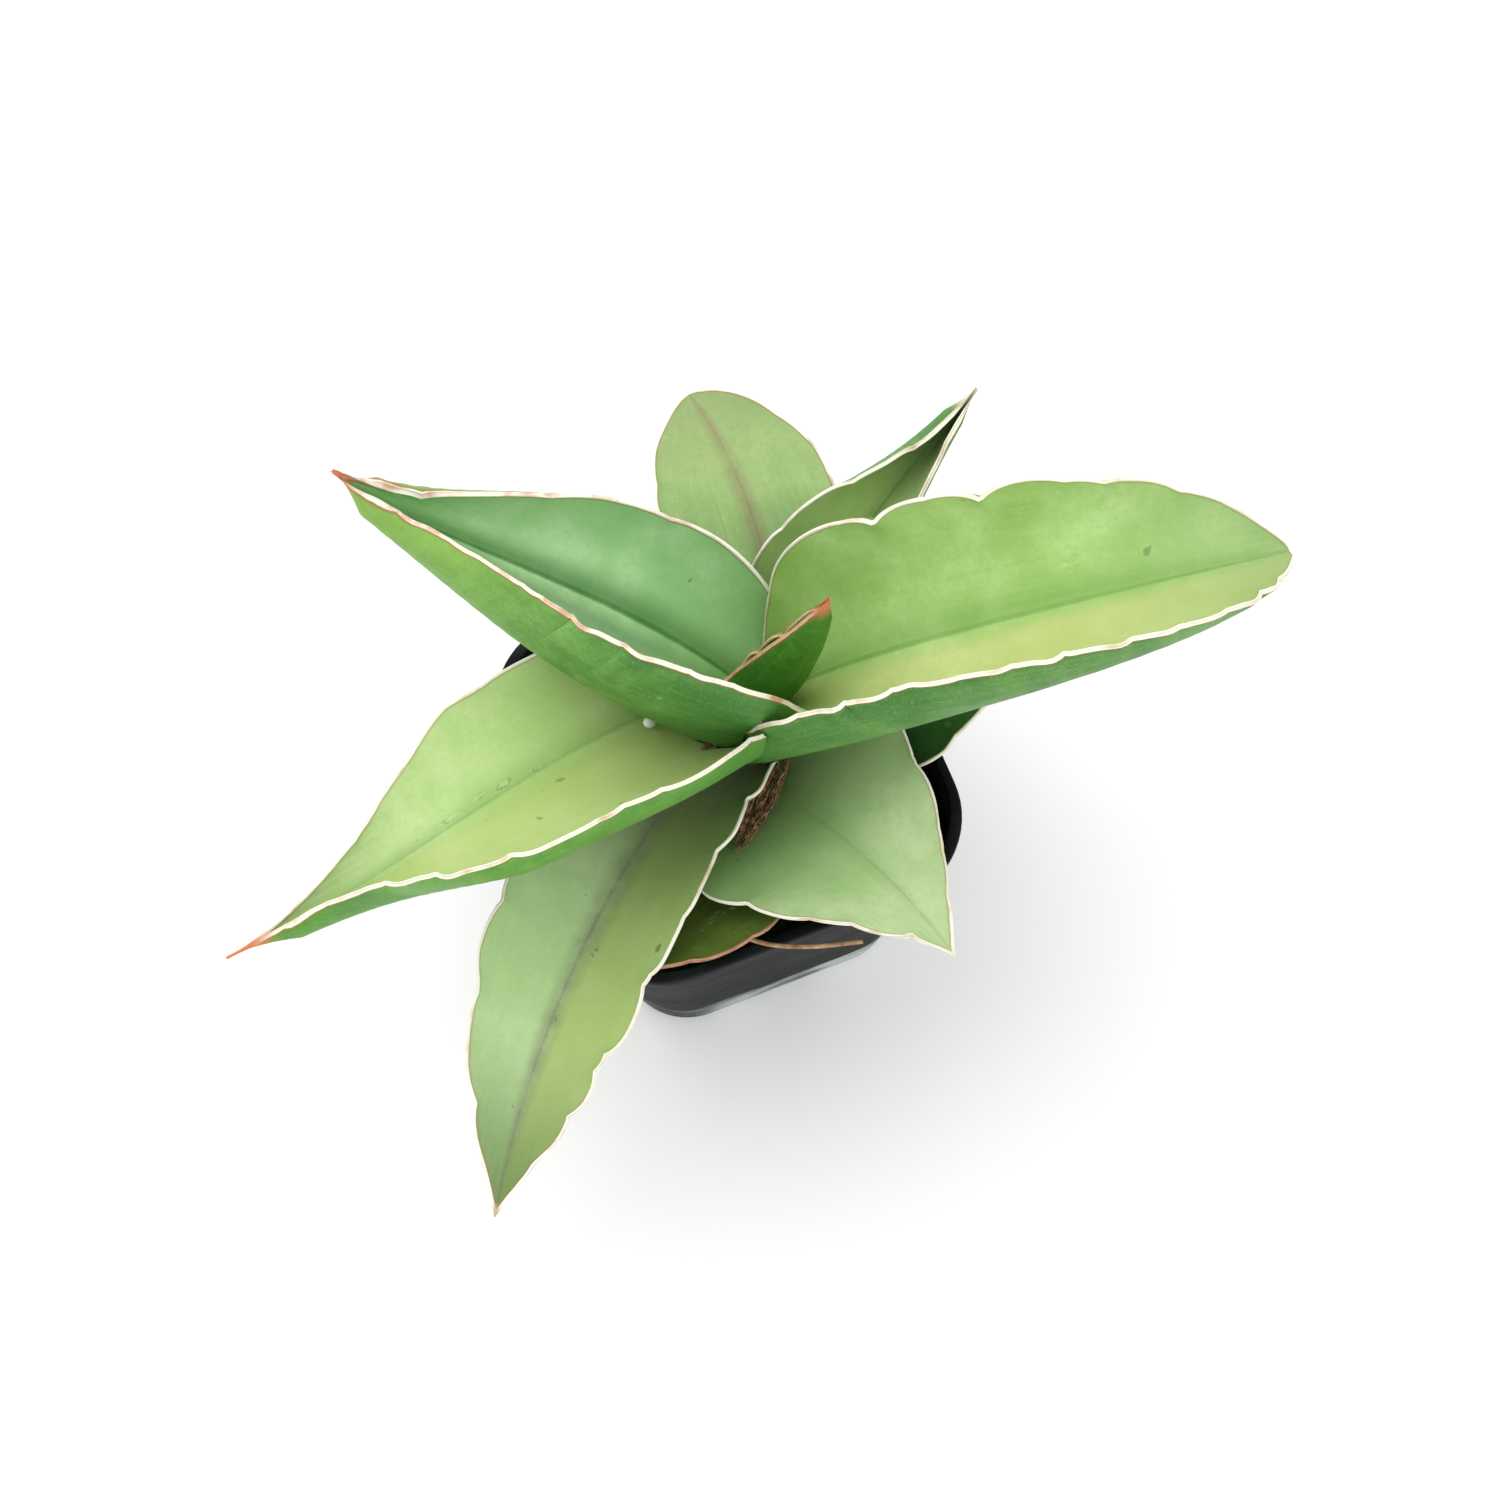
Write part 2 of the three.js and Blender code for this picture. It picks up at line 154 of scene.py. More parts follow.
def finish_mesh(piece, angle=35):
    """Puts the piece's place into its mesh and smooths it between its sharp edges."""
    deselect_all()
    piece.select_set(True)
    bpy.context.view_layer.objects.active = piece
    bpy.ops.object.transform_apply(location=True, rotation=True, scale=True)
    bpy.ops.object.shade_smooth_by_angle(angle=radians(angle))


def rounded_square(name, side, corner, z):
    """A flat rounded square, turned as the pot is, left in edit mode with its face selected."""
    deselect_all()
    bpy.ops.mesh.primitive_plane_add(size=side, location=(0, 0, z), rotation=(0, 0, POT_TURN))
    piece = bpy.context.object
    piece.name = name
    bpy.ops.object.transform_apply(location=True, rotation=True, scale=True)
    bpy.ops.object.mode_set(mode="EDIT")
    bpy.ops.mesh.select_all(action="SELECT")
    bpy.ops.mesh.bevel(offset=corner, segments=14, affect="VERTICES")
    bpy.ops.mesh.select_mode(type="FACE")
    bpy.ops.mesh.select_all(action="SELECT")
    return piece


def grow_ring(side_now, side_next, rise):
    """Extrudes the selected face by a rise and sizes it to the next side."""
    bpy.ops.mesh.extrude_region_move(TRANSFORM_OT_translate={"value": (0, 0, rise)})
    share = side_next / side_now
    bpy.ops.transform.resize(value=(share, share, 1), center_override=(0, 0, 0))


def pot_side(z):
    """The outer side of the tapered wall at a height."""
    top = POT_TOP_SIDE - 2 * RIM_OVERHANG
    return POT_BASE_SIDE + (top - POT_BASE_SIDE) * z / RIM_Z


def make_pot():
    """Grown ring by ring: up the outside, over the rolled rim, and down the inside."""
    pot = rounded_square("pot_moulding", POT_BASE_SIDE - 2 * POT_FOOT, POT_CORNER - POT_FOOT, 0)
    bpy.ops.mesh.flip_normals()
    rim_foot = RIM_Z - RIM_HEIGHT
    under = rim_foot - 0.3 * MM
    inner_top = pot_side(RIM_Z) - 2 * POT_WALL
    lip = RIM_Z - 0.7 * MM
    levels = [(0.0, POT_BASE_SIDE - 2 * POT_FOOT)]
    for step in range(1, 5):
        turn = radians(22.5 * step)
        levels.append((POT_FOOT * (1 - cos(turn)),
                       pot_side(POT_FOOT) - 2 * POT_FOOT * (1 - sin(turn))))
    for step in range(1, 13):
        z = POT_FOOT + (under - POT_FOOT) * step / 12
        levels.append((z, pot_side(z)))
    levels += [
        (rim_foot, POT_TOP_SIDE - 0.9 * MM),
        (rim_foot + 0.25 * MM, POT_TOP_SIDE - 0.15 * MM),
        (rim_foot + 0.6 * MM, POT_TOP_SIDE),
        (RIM_Z - 0.9 * MM, POT_TOP_SIDE),
        (RIM_Z - 0.35 * MM, POT_TOP_SIDE - 0.3 * MM),
        (RIM_Z - 0.05 * MM, POT_TOP_SIDE - 1.0 * MM),
        (RIM_Z, POT_TOP_SIDE - 1.8 * MM),
        (RIM_Z, inner_top + 1.3 * MM),
        (RIM_Z - 0.15 * MM, inner_top + 0.6 * MM),
        (lip, inner_top)]
    for step in range(1, 9):
        z = lip + (POT_FLOOR - lip) * step / 8
        levels.append((z, pot_side(z) - 2 * POT_WALL))
    for (z, side), (next_z, next_side) in zip(levels, levels[1:]):
        grow_ring(side, next_side, next_z - z)
    bpy.ops.object.mode_set(mode="OBJECT")
    for hole in range(4):
        turn = POT_TURN + hole * pi / 2
        deselect_all()
        bpy.ops.mesh.primitive_cylinder_add(
            vertices=32, radius=DRAIN_HOLE / 2, depth=4 * POT_FLOOR,
            location=(DRAIN_CIRCLE * cos(turn), DRAIN_CIRCLE * sin(turn), 0))
        drill = bpy.context.object
        cut = pot.modifiers.new("drain", "BOOLEAN")
        cut.operation = "DIFFERENCE"
        cut.object = drill
        bpy.context.view_layer.objects.active = pot
        bpy.ops.object.modifier_apply(modifier=cut.name)
        bpy.data.objects.remove(drill)
    finish_mesh(pot, 30)
    return pot


def add_node(owner, kind, **inputs):
    """Adds a node to the material that a node or a socket belongs to, with its inputs set."""
    return set_inputs(owner.id_data.nodes.new("ShaderNode" + kind), **inputs)


def object_place(shader):
    """Where a point is on the piece: what the patterns of a finish follow."""
    return add_node(shader, "TexCoord").outputs["Object"]


def noise_at(place, scale, detail=3.0, rough=0.55):
    made = add_node(place, "TexNoise", Vector=place, Scale=scale, Detail=detail, Roughness=rough)
    return made.outputs["Fac"]


def stretched(place, scale, turn=0.0):
    made = add_node(place, "Mapping", Vector=place, Scale=scale, Rotation=(0, 0, turn))
    return made.outputs["Vector"]


def ranged(value, low, high, to_low=0.0, to_high=1.0, smooth=True):
    """Carries a value from the range low to high over to another range, and holds it there."""
    made = add_node(value, "MapRange", Value=value, From_Min=low, From_Max=high,
                    To_Min=to_low, To_Max=to_high)
    made.interpolation_type = "SMOOTHSTEP" if smooth else "LINEAR"
    return made.outputs["Result"]


def maths(kind, *values):
    made = add_node(values[0], "Math")
    made.operation = kind
    for value, socket in zip(values, made.inputs):
        join(value, socket)
    return made.outputs[0]


def mixed(share, first, second):
    """The first colour, with a share of the second laid over it."""
    made = add_node(share, "Mix", Factor=share)
    made.data_type = "RGBA"
    join(first, made.inputs[6])
    join(second, made.inputs[7])
    return made.outputs[2]


def toned(value, low, high, dark, light):
    """A colour that runs from dark to light while the value runs from low to high."""
    made = add_node(value, "ValToRGB", Fac=value)
    for stop, position, colour in zip(made.color_ramp.elements, (low, high), (dark, light)):
        stop.position = position
        stop.color = (*colour, 1)
    return made.outputs["Color"]


def roughen(shader, height, strength, depth):
    bump = add_node(shader, "Bump", Strength=strength, Distance=depth, Height=height)
    join(bump.outputs["Normal"], shader.inputs["Normal"])


def pot_material():
    """Satin black polypropylene with a film of dust along its sides, and a painted reflection of
    the pale table round its foot.
    """
    material, shader = new_material("black_pot_plastic")
    place = object_place(shader)
    streaks = noise_at(stretched(place, (45, 45, 300), -POT_TURN), 1, 6, 0.5)
    patches = noise_at(place, 45, 4, 0.5)
    film = maths("MULTIPLY", streaks, patches)
    dust = toned(film, 0.24, 0.46, (0.008, 0.009, 0.009), (0.026, 0.03, 0.03))

    # A broken pale band round the foot is a painted reflection of the pale table.
    height = add_node(place, "SeparateXYZ", Vector=place).outputs["Z"]
    wander = maths("MULTIPLY_ADD", streaks, 0.055, height)
    low = ranged(wander, 0.035, 0.041, 1, 0, smooth=False)
    reflection_patches = ranged(patches, 0.4, 0.62, 0.22, 0.85, smooth=False)
    colour = mixed(maths("MULTIPLY", low, reflection_patches), dust, (0.5, 0.55, 0.53))
    rough = ranged(film, 0.15, 0.5, 0.45, 0.65, smooth=False)
    set_inputs(shader, Base_Color=colour, Roughness=rough, Specular_IOR_Level=0.03)
    roughen(shader, noise_at(place, 900, 2, 0.5), 0.15, 0.2 * MM)
    return material


pot = make_pot()
pot.data.materials.append(pot_material())
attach(pot, "root")
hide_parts("nursery_pot")


# ---- The potting mix ----
# Dark peat and composted bark with white perlite, filling the pot to a finger's width below
# the rim. The mix itself is one body; the crumbs, bark chips and grains lie loose on it.

HEADSPACE = 10 * MM
MIX_CROWN = 2.2 * MM
CLEARANCE = 0.3 * MM
MIX_RINGS = 22
CROWN_REACH = 38 * MM          # how far from the stem the mix starts to rise
LUMP_HEIGHT = 1.1 * MM
WALL_CLEAR = 2.2 * MM          # no grain's middle lies nearer than this to the wall
CORNER_CLEAR = 9 * MM          # or nearer than this to both edges of that area at a corner
mix_top = RIM_Z - HEADSPACE
stem_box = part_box("crown_stem")
stem_at = ((stem_box[0] + stem_box[1]) / 2).to_2d()


def mix_height(x, y):
    """The lumpy top of the mix, a little higher round the stem."""
    near = max(0, 1 - (Vector((x, y)) - stem_at).length / CROWN_REACH)
    lumps = noise.fractal(Vector((x, y, 0)) * 160, 1.0, 2.0, 4)
    return mix_top + MIX_CROWN * near + LUMP_HEIGHT * lumps


def make_mix():
    """A tapered block that fills the pot's inside, its top drawn in by rings to the middle."""
    side = pot_side(POT_FLOOR) - 2 * (POT_WALL + CLEARANCE)
    corner = POT_CORNER * side / POT_BASE_SIDE
    mix = rounded_square("potting_mix_body", side, corner, POT_FLOOR + CLEARANCE)
    bpy.ops.mesh.flip_normals()
    top_side = pot_side(mix_top) - 2 * (POT_WALL + CLEARANCE)
    grow_ring(side, top_side, mix_top - POT_FLOOR - CLEARANCE)
    for left in range(MIX_RINGS, 0, -1):
        grow_ring(left, left - 0.7, 0)
    bpy.ops.mesh.poke()
    bpy.ops.mesh.select_all(action="SELECT")
    bpy.ops.mesh.normals_make_consistent(inside=False)
    bpy.ops.object.mode_set(mode="OBJECT")
    for vertex in mix.data.vertices:
        if vertex.co.z > mix_top - 0.1 * MM:
            vertex.co.z = mix_height(vertex.co.x, vertex.co.y)
    finish_mesh(mix, 60)
    return mix


def crumbly_material(name, dark, light, scale, roughness=0.85, detail=6, tones=(0.32, 0.68),
                     sheen=0.25, relief=(0.6, 0.4 * MM)):
    """A dry crumbly finish whose colour wanders between two browns or whites."""
    material, shader = new_material(name)
    speckle = noise_at(object_place(shader), scale, detail, 0.5)
    set_inputs(shader, Base_Color=toned(speckle, *tones, dark, light), Roughness=roughness,
               Specular_IOR_Level=sheen)
    roughen(shader, speckle, *relief)
    return material


mix = make_mix()
peat_material = crumbly_material(
    "potting_mix", (0.006, 0.004, 0.003), (0.055, 0.032, 0.02), 420, roughness=0.95, detail=8,
    tones=(0.35, 0.72), sheen=0.2, relief=(0.9, 1.2 * MM))
mix.data.materials.append(peat_material)
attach(mix, "root")
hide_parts("potting_mix")


def shaped_grain(stretch, roughness, seed):
    """One small rough grain: a ball of few faces pushed out of round. Gives points and faces."""
    deselect_all()
    bpy.ops.mesh.primitive_ico_sphere_add(subdivisions=2, radius=0.5, location=(0, 0, 0))
    grain = bpy.context.object
    points = []
    for vertex in grain.data.vertices:
        push = 1 + roughness * noise.noise(vertex.co * 3 + Vector((seed, 0, 0)))
        points.append([vertex.co[axis] * stretch[axis] * push for axis in range(3)])
    corners = [tuple(face.vertices) for face in grain.data.polygons]
    bpy.data.objects.remove(grain)
    return np.array(points), corners


def scatter(name, grains, count, size, rise, seed, material, keep_out=0.0):
    """Strews copies of a few grains over the mix, as one piece made of separate solids.

    Their middles lie above the mix by rise times their size, and off the stem by keep_out."""
    chance = np.random.default_rng(seed)
    reach = pot_side(mix_top) / 2 - POT_WALL - WALL_CLEAR
    points = []
    faces = []
    placed = 0
    while placed < count:
        x, y = chance.uniform(-reach, reach, 2)
        in_corner = min(abs(x), abs(y)) > reach - CORNER_CLEAR
        spot = Vector((x * cos(POT_TURN) - y * sin(POT_TURN),
                       x * sin(POT_TURN) + y * cos(POT_TURN)))
        if in_corner or (spot - stem_at).length < keep_out:
            continue
        grain_points, grain_faces = grains[placed % len(grains)]
        spread = chance.uniform(size[0], size[1])
        spin = chance.uniform(0, 2 * pi)
        tilt = chance.uniform(-0.35, 0.35)
        turn = np.array([[cos(spin), -sin(spin), 0], [sin(spin), cos(spin), 0], [0, 0, 1]])
        lean = np.array([[1, 0, 0], [0, cos(tilt), -sin(tilt)], [0, sin(tilt), cos(tilt)]])
        height = mix_height(spot.x, spot.y) + rise * spread
        base = len(points)
        moved = grain_points @ lean.T @ turn.T * spread + np.array([spot.x, spot.y, height])
        points.extend(moved.tolist())
        faces.extend(tuple(base + k for k in corner_list) for corner_list in grain_faces)
        placed += 1
    mesh = bpy.data.meshes.new(name)
    mesh.from_pydata(points, [], faces)
    piece = bpy.data.objects.new(name, mesh)
    scene.collection.objects.link(piece)
    finish_mesh(piece, 50)
    mesh.materials.append(material)
    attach(piece, "root")


crumb = [shaped_grain((1, 0.8, 0.7), 0.7, seed) for seed in range(4)]
chip = [shaped_grain((1, 0.5, 0.22), 0.5, seed) for seed in range(10, 14)]
white = [shaped_grain((1, 0.85, 0.75), 0.5, seed) for seed in range(20, 23)]
bark_material = crumbly_material("bark", (0.03, 0.016, 0.009), (0.13, 0.07, 0.04), 350, 0.9)
perlite_material = crumbly_material("perlite", (0.55, 0.53, 0.49), (0.86, 0.85, 0.82), 900)
scatter("peat_crumbs", crumb, 620, (1.0 * MM, 2.6 * MM), 0.2, seed=3,
        material=peat_material)
scatter("bark_chips", chip, 130, (3.0 * MM, 7.5 * MM), 0.1, seed=5,
        material=bark_material, keep_out=18 * MM)
scatter("perlite_in_mix", white, 46, (1.2 * MM, 2.8 * MM), 0.3, seed=8,
        material=perlite_material, keep_out=14 * MM)


# ---- The stem ----
# The short upright rhizome that carries the leaves, woody and brown, and ringed by the scars
# of leaves that are gone. It stands rooted in the mix.

STEM_RADIUS = 7.1 * MM
STEM_RINGS = 40
FOOT_SHARE = 0.6               # the foot's radius as a share of the stem's
SHOULDER = 0.72                # the share of its height where the stem starts to round off
SCAR_DEPTH = 0.35 * MM
BARK_RELIEF = 0.3 * MM


def make_stem(name, grow=0.0):
    """The ringed stem; one that is grown is plain, and cuts the leaf bases clear of it."""
    low, high = stem_box
    deselect_all()
    bpy.ops.mesh.primitive_circle_add(
        vertices=48, radius=STEM_RADIUS * FOOT_SHARE, fill_type="NGON",
        location=(stem_at.x, stem_at.y, low.z))
    stem = bpy.context.object
    stem.name = name
    bpy.ops.object.transform_apply(location=True, rotation=True, scale=True)
    bpy.ops.object.mode_set(mode="EDIT")
    bpy.ops.mesh.select_mode(type="FACE")
    bpy.ops.mesh.select_all(action="SELECT")
    bpy.ops.mesh.flip_normals()
    radius = STEM_RADIUS * FOOT_SHARE
    for ring in range(1, STEM_RINGS + 1):
        share = ring / STEM_RINGS
        scar = SCAR_DEPTH * (ring % 4 == 1)
        swell = FOOT_SHARE + 0.4 * sin(pi * min(share * 1.4, 1) ** 0.8)
        if share > SHOULDER:
            swell = 0.62 + 0.36 * cos((share - SHOULDER) / (1 - SHOULDER) * pi / 2)
        grown = STEM_RADIUS * swell - scar
        if grow:
            grown += scar + grow
        bpy.ops.mesh.extrude_region_move(
            TRANSFORM_OT_translate={"value": (0, 0, (high.z - low.z + grow) / STEM_RINGS)})
        scale = grown / radius
        bpy.ops.transform.resize(value=(scale, scale, 1), center_override=(*stem_at, 0))
        radius = grown
    bpy.ops.mesh.inset(thickness=radius * 0.5)
    bpy.ops.mesh.poke()
    bpy.ops.mesh.select_all(action="SELECT")
    bpy.ops.mesh.normals_make_consistent(inside=False)
    bpy.ops.object.mode_set(mode="OBJECT")
    if not grow:
        for vertex in stem.data.vertices:
            vertex.co += vertex.normal * BARK_RELIEF * noise.noise(vertex.co * 700)
    finish_mesh(stem, 60)
    return stem


stem = make_stem("rhizome_stem")
stem.data.materials.append(
    crumbly_material("stem_bark", (0.09, 0.05, 0.025), (0.34, 0.22, 0.12), 600))
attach(stem, "root")
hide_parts("crown_stem")


# ---- The leaves ----
# Ten thick channelled leaves, each grown as one blade with a pale horny margin. A sheet is
# shaped along its midrib, folded up on both sides, and thickened downwards to a fleshy keel.

LEAF_EDGE = 0.65 * MM
TIP_THINNING = 0.7
TIP_END = 0.9985               # the blade ends just short of its length, where it has no width
LEAF_GRID = (52, 150)          # how many faces a leaf has across and along it
CUTTER_GRID = (24, 60)
LEAF_CLEARANCE = 0.35 * MM     # room that an older leaf leaves to a younger one
STEM_CLEARANCE = 0.5 * MM
SPINE_STEPS = 401
ARC_STEPS = 64
FOLD_LIMITS = (2, 120)         # degrees
STEEPEST_FOLD = 112            # degrees, once one half folds more than the other
MARGIN_BAND = 0.6              # the share of the half width from which the waves set in
WAVE_FADE = 0.12               # the share of the length over which they start and end
NOTCH_REACH = 3.2              # mm along the margin
FOOT_REACH = 0.13              # the share of the length over which a narrow foot widens
BEAD = (0.14 * MM, 0.7 * MM)   # height and reach of the bead that stiffens the margin
CREASE_REACH = 2.2 * MM
RIB = (0.035 * MM, 1.7 * MM)   # height and spacing of the faint ribs along the face
SCAR_SHAPE = 0.45              # a scar's width as a share of its length along the leaf
WHOLE_SHARE = 0.6              # a cut that leaves fewer of a leaf's faces than this has failed
MERGE_REACH = 6e-6
SLIVER_REACH = 2e-6
FLAP_ROUNDS = 6
EDGE_MAP_WIDTH = 50 * MM       # the edge map's first number is 1 this far from the margin
EDGE_MAP_LENGTH = 150 * MM     # and its second is 1 this far from the tip

# Each leaf: where its midrib starts (mm), its bearing and sweep (degrees), its climb at base,
# middle and tip, length and half width (mm), the share of width kept at the base, where it is
# widest, the taper, the fold and roll (degrees), the keel's thickness, how much more the left
# half folds and reaches, how quickly a half curls, and how deep the midrib's crease is (mm).
# Waves are (height mm, count, phase) for the right and the left margin. The left side is 1
# and the right -1: notches are (side, place along the leaf, depth mm), and narrow_foot is
# the side that is narrower at the base and by what share. The youngest leaf comes first.
LEAF_SHAPES = {
    "leaf_heart": dict(
        base=(7.5, 6.5, 95), bearing=4, sweep=-8, climb=(60, 78, 88), length=58, half=15,
        base_share=0.8, widest=0.3, taper=(1.3, 1), fold=(98, 112, 104), roll=(-10, -5),
        keel=3, lean=0.1, reach=-0.25, curl=0.43, crease=0.2,
        waves=((0.3, 5, 0.3), (0.5, 4, 1.8))),
    "leaf_right_large": dict(
        base=(10.5, 10.5, 92.7), bearing=-7.5, sweep=28.5, climb=(61, 21, -19), length=125,
        half=35, base_share=0.62, widest=0.34, taper=(2.2, 0.93), fold=(76, 85, 52),
        roll=(9, 2), keel=10, lean=-0.14, reach=-0.08, curl=0.71,
        crease=0.9, waves=((0.8, 15, 0.4), (0.5, 6, 0.6)),
        narrow_foot=(1, 0.6),
        notches=((1, 0.37, 2.6), (1, 0.52, 2.6), (1, 0.69, 1.0), (-1, 0.41, 1.3))),
    "leaf_left_upper": dict(
        base=(6, 10, 95.4), bearing=154, sweep=30, climb=(41, 32, 73), length=110, half=39,
        base_share=0.63, widest=0.26, taper=(2.1, 1.93), fold=(100, 90, 115), roll=(10, -15),
        keel=9.5, lean=0.1, reach=0.35, curl=0.68, crease=0.9,
        waves=((0.35, 4, 2.0), (0.95, 9, 0.7)),
        notches=((1, 0.6, 1.2), (1, 0.72, 0.8), (-1, 0.8, 1.0))),
    "leaf_left_lower": dict(
        base=(-5.7, 8, 97.8), bearing=210.5, sweep=1.2, climb=(35, -12, 17.5), length=116.5,
        half=34, base_share=1, widest=0.43, taper=(1.25, 1.7), fold=(74, 57, 77),
        roll=(-1, 37), keel=8, lean=0.17, reach=0.35, curl=0.74,
        crease=0.5, waves=((0.3, 7, 1.1), (0.9, 9, 0.2)),
        narrow_foot=(1, 0.22), notches=((1, 0.28, 1.4), (1, 0.43, 1.4), (-1, 0.7, 0.9))),
    "leaf_back_right": dict(
        base=(8, 12.2, 86.2), bearing=58, sweep=-16, climb=(36, 28, 31), length=82.5, half=20,
        base_share=0.56, widest=0.49, taper=(1.56, 1.27), fold=(60, 74, 115),
        roll=(-22, 28), keel=5.2, lean=0.06, reach=0.05, curl=0.28,
        crease=0.4, waves=((0.7, 5, 2.2), (0.6, 6, 0.9))),
    "leaf_back": dict(
        base=(13, 10.2, 84.6), bearing=92, sweep=29.5, climb=(40, 13, -11), length=78.5,
        half=21.5, base_share=0.6, widest=0.47, taper=(2.36, 0.77), fold=(47, 28, 17),
        roll=(19, -2), keel=5, lean=0.02, reach=0.07, curl=0.55,
        crease=0.35, waves=((0.6, 3, 1.4), (0.9, 4, 0.2))),
    "leaf_front": dict(
        base=(-2, 4.3, 80), bearing=235, sweep=23, climb=(16, -0.5, -22), length=118, half=25,
        base_share=0.77, widest=0.37, taper=(2.1, 1.24), fold=(42, 48, 19), roll=(6, 1),
        keel=4, lean=0.15, reach=0.08, curl=0.48, crease=0.25,
        waves=((0.8, 6, 0.5), (0.9, 8, 2.4)),
        notches=((-1, 0.49, 1.6), (-1, 0.62, 0.7), (1, 0.54, 1.4), (1, 0.7, 1.6))),
    "leaf_front_right": dict(
        base=(7, -5.9, 79.4), bearing=322, sweep=-12.5, climb=(31, 7, -24), length=62,
        half=30.5, base_share=0.6, widest=0.29, taper=(1.58, 1.35), fold=(37, 28, 41),
        roll=(2, -8), keel=4.5, lean=-0.01, reach=-0.09, curl=0.54,
        crease=0.3, waves=((1.0, 4.5, 0.8), (0.8, 5, 2.6)),
        notches=((-1, 0.4, 1.2), (-1, 0.68, 1.3), (1, 0.46, 1.0), (1, 0.7, 0.8))),
    "leaf_under_right": dict(
        base=(19.5, 1.3, 79.7), bearing=46, sweep=-44, climb=(16, 13, 0), length=69.5,
        half=28.5, base_share=0.61, widest=0.36, taper=(1.17, 0.58), fold=(33, 32, 33),
        roll=(4, -8), keel=4, lean=-0.02, reach=0.17, curl=0.51,
        crease=0.3, waves=((0.45, 5, 0.1), (0.45, 5, 1.9))),
    "leaf_old_low": dict(
        base=(10.5, -9.2, 81.6), bearing=226, sweep=2, climb=(1.5, 9, 14), length=62.5,
        half=22.5, base_share=0.6, widest=0.44, taper=(2.47, 0.5), fold=(19, 8, 45),
        roll=(7, 31), keel=3, lean=0.02, reach=0.07, curl=0.53,
        crease=0.3, waves=((0.4, 5, 0.6), (0.4, 5, 1.2))),
}


def through_three(values, s):
    """A curve through its values at the base, the middle and the tip."""
    start, middle, end = values
    return start * (1 - s) * (1 - 2 * s) + 4 * middle * s * (1 - s) + end * s * (2 * s - 1)


def half_width(shape, s):
    """The blade's half width in metres at a share of its length."""
    swell = np.sin(pi / 2 * np.minimum(s / shape["widest"], 1))
    beyond = np.clip((s - shape["widest"]) / (1 - shape["widest"]), 0, 1)
    tip = (1 - beyond ** shape["taper"][0]) ** shape["taper"][1]
    base_share = shape["base_share"]
    return shape["half"] * MM * (base_share + (1 - base_share) * swell) * tip


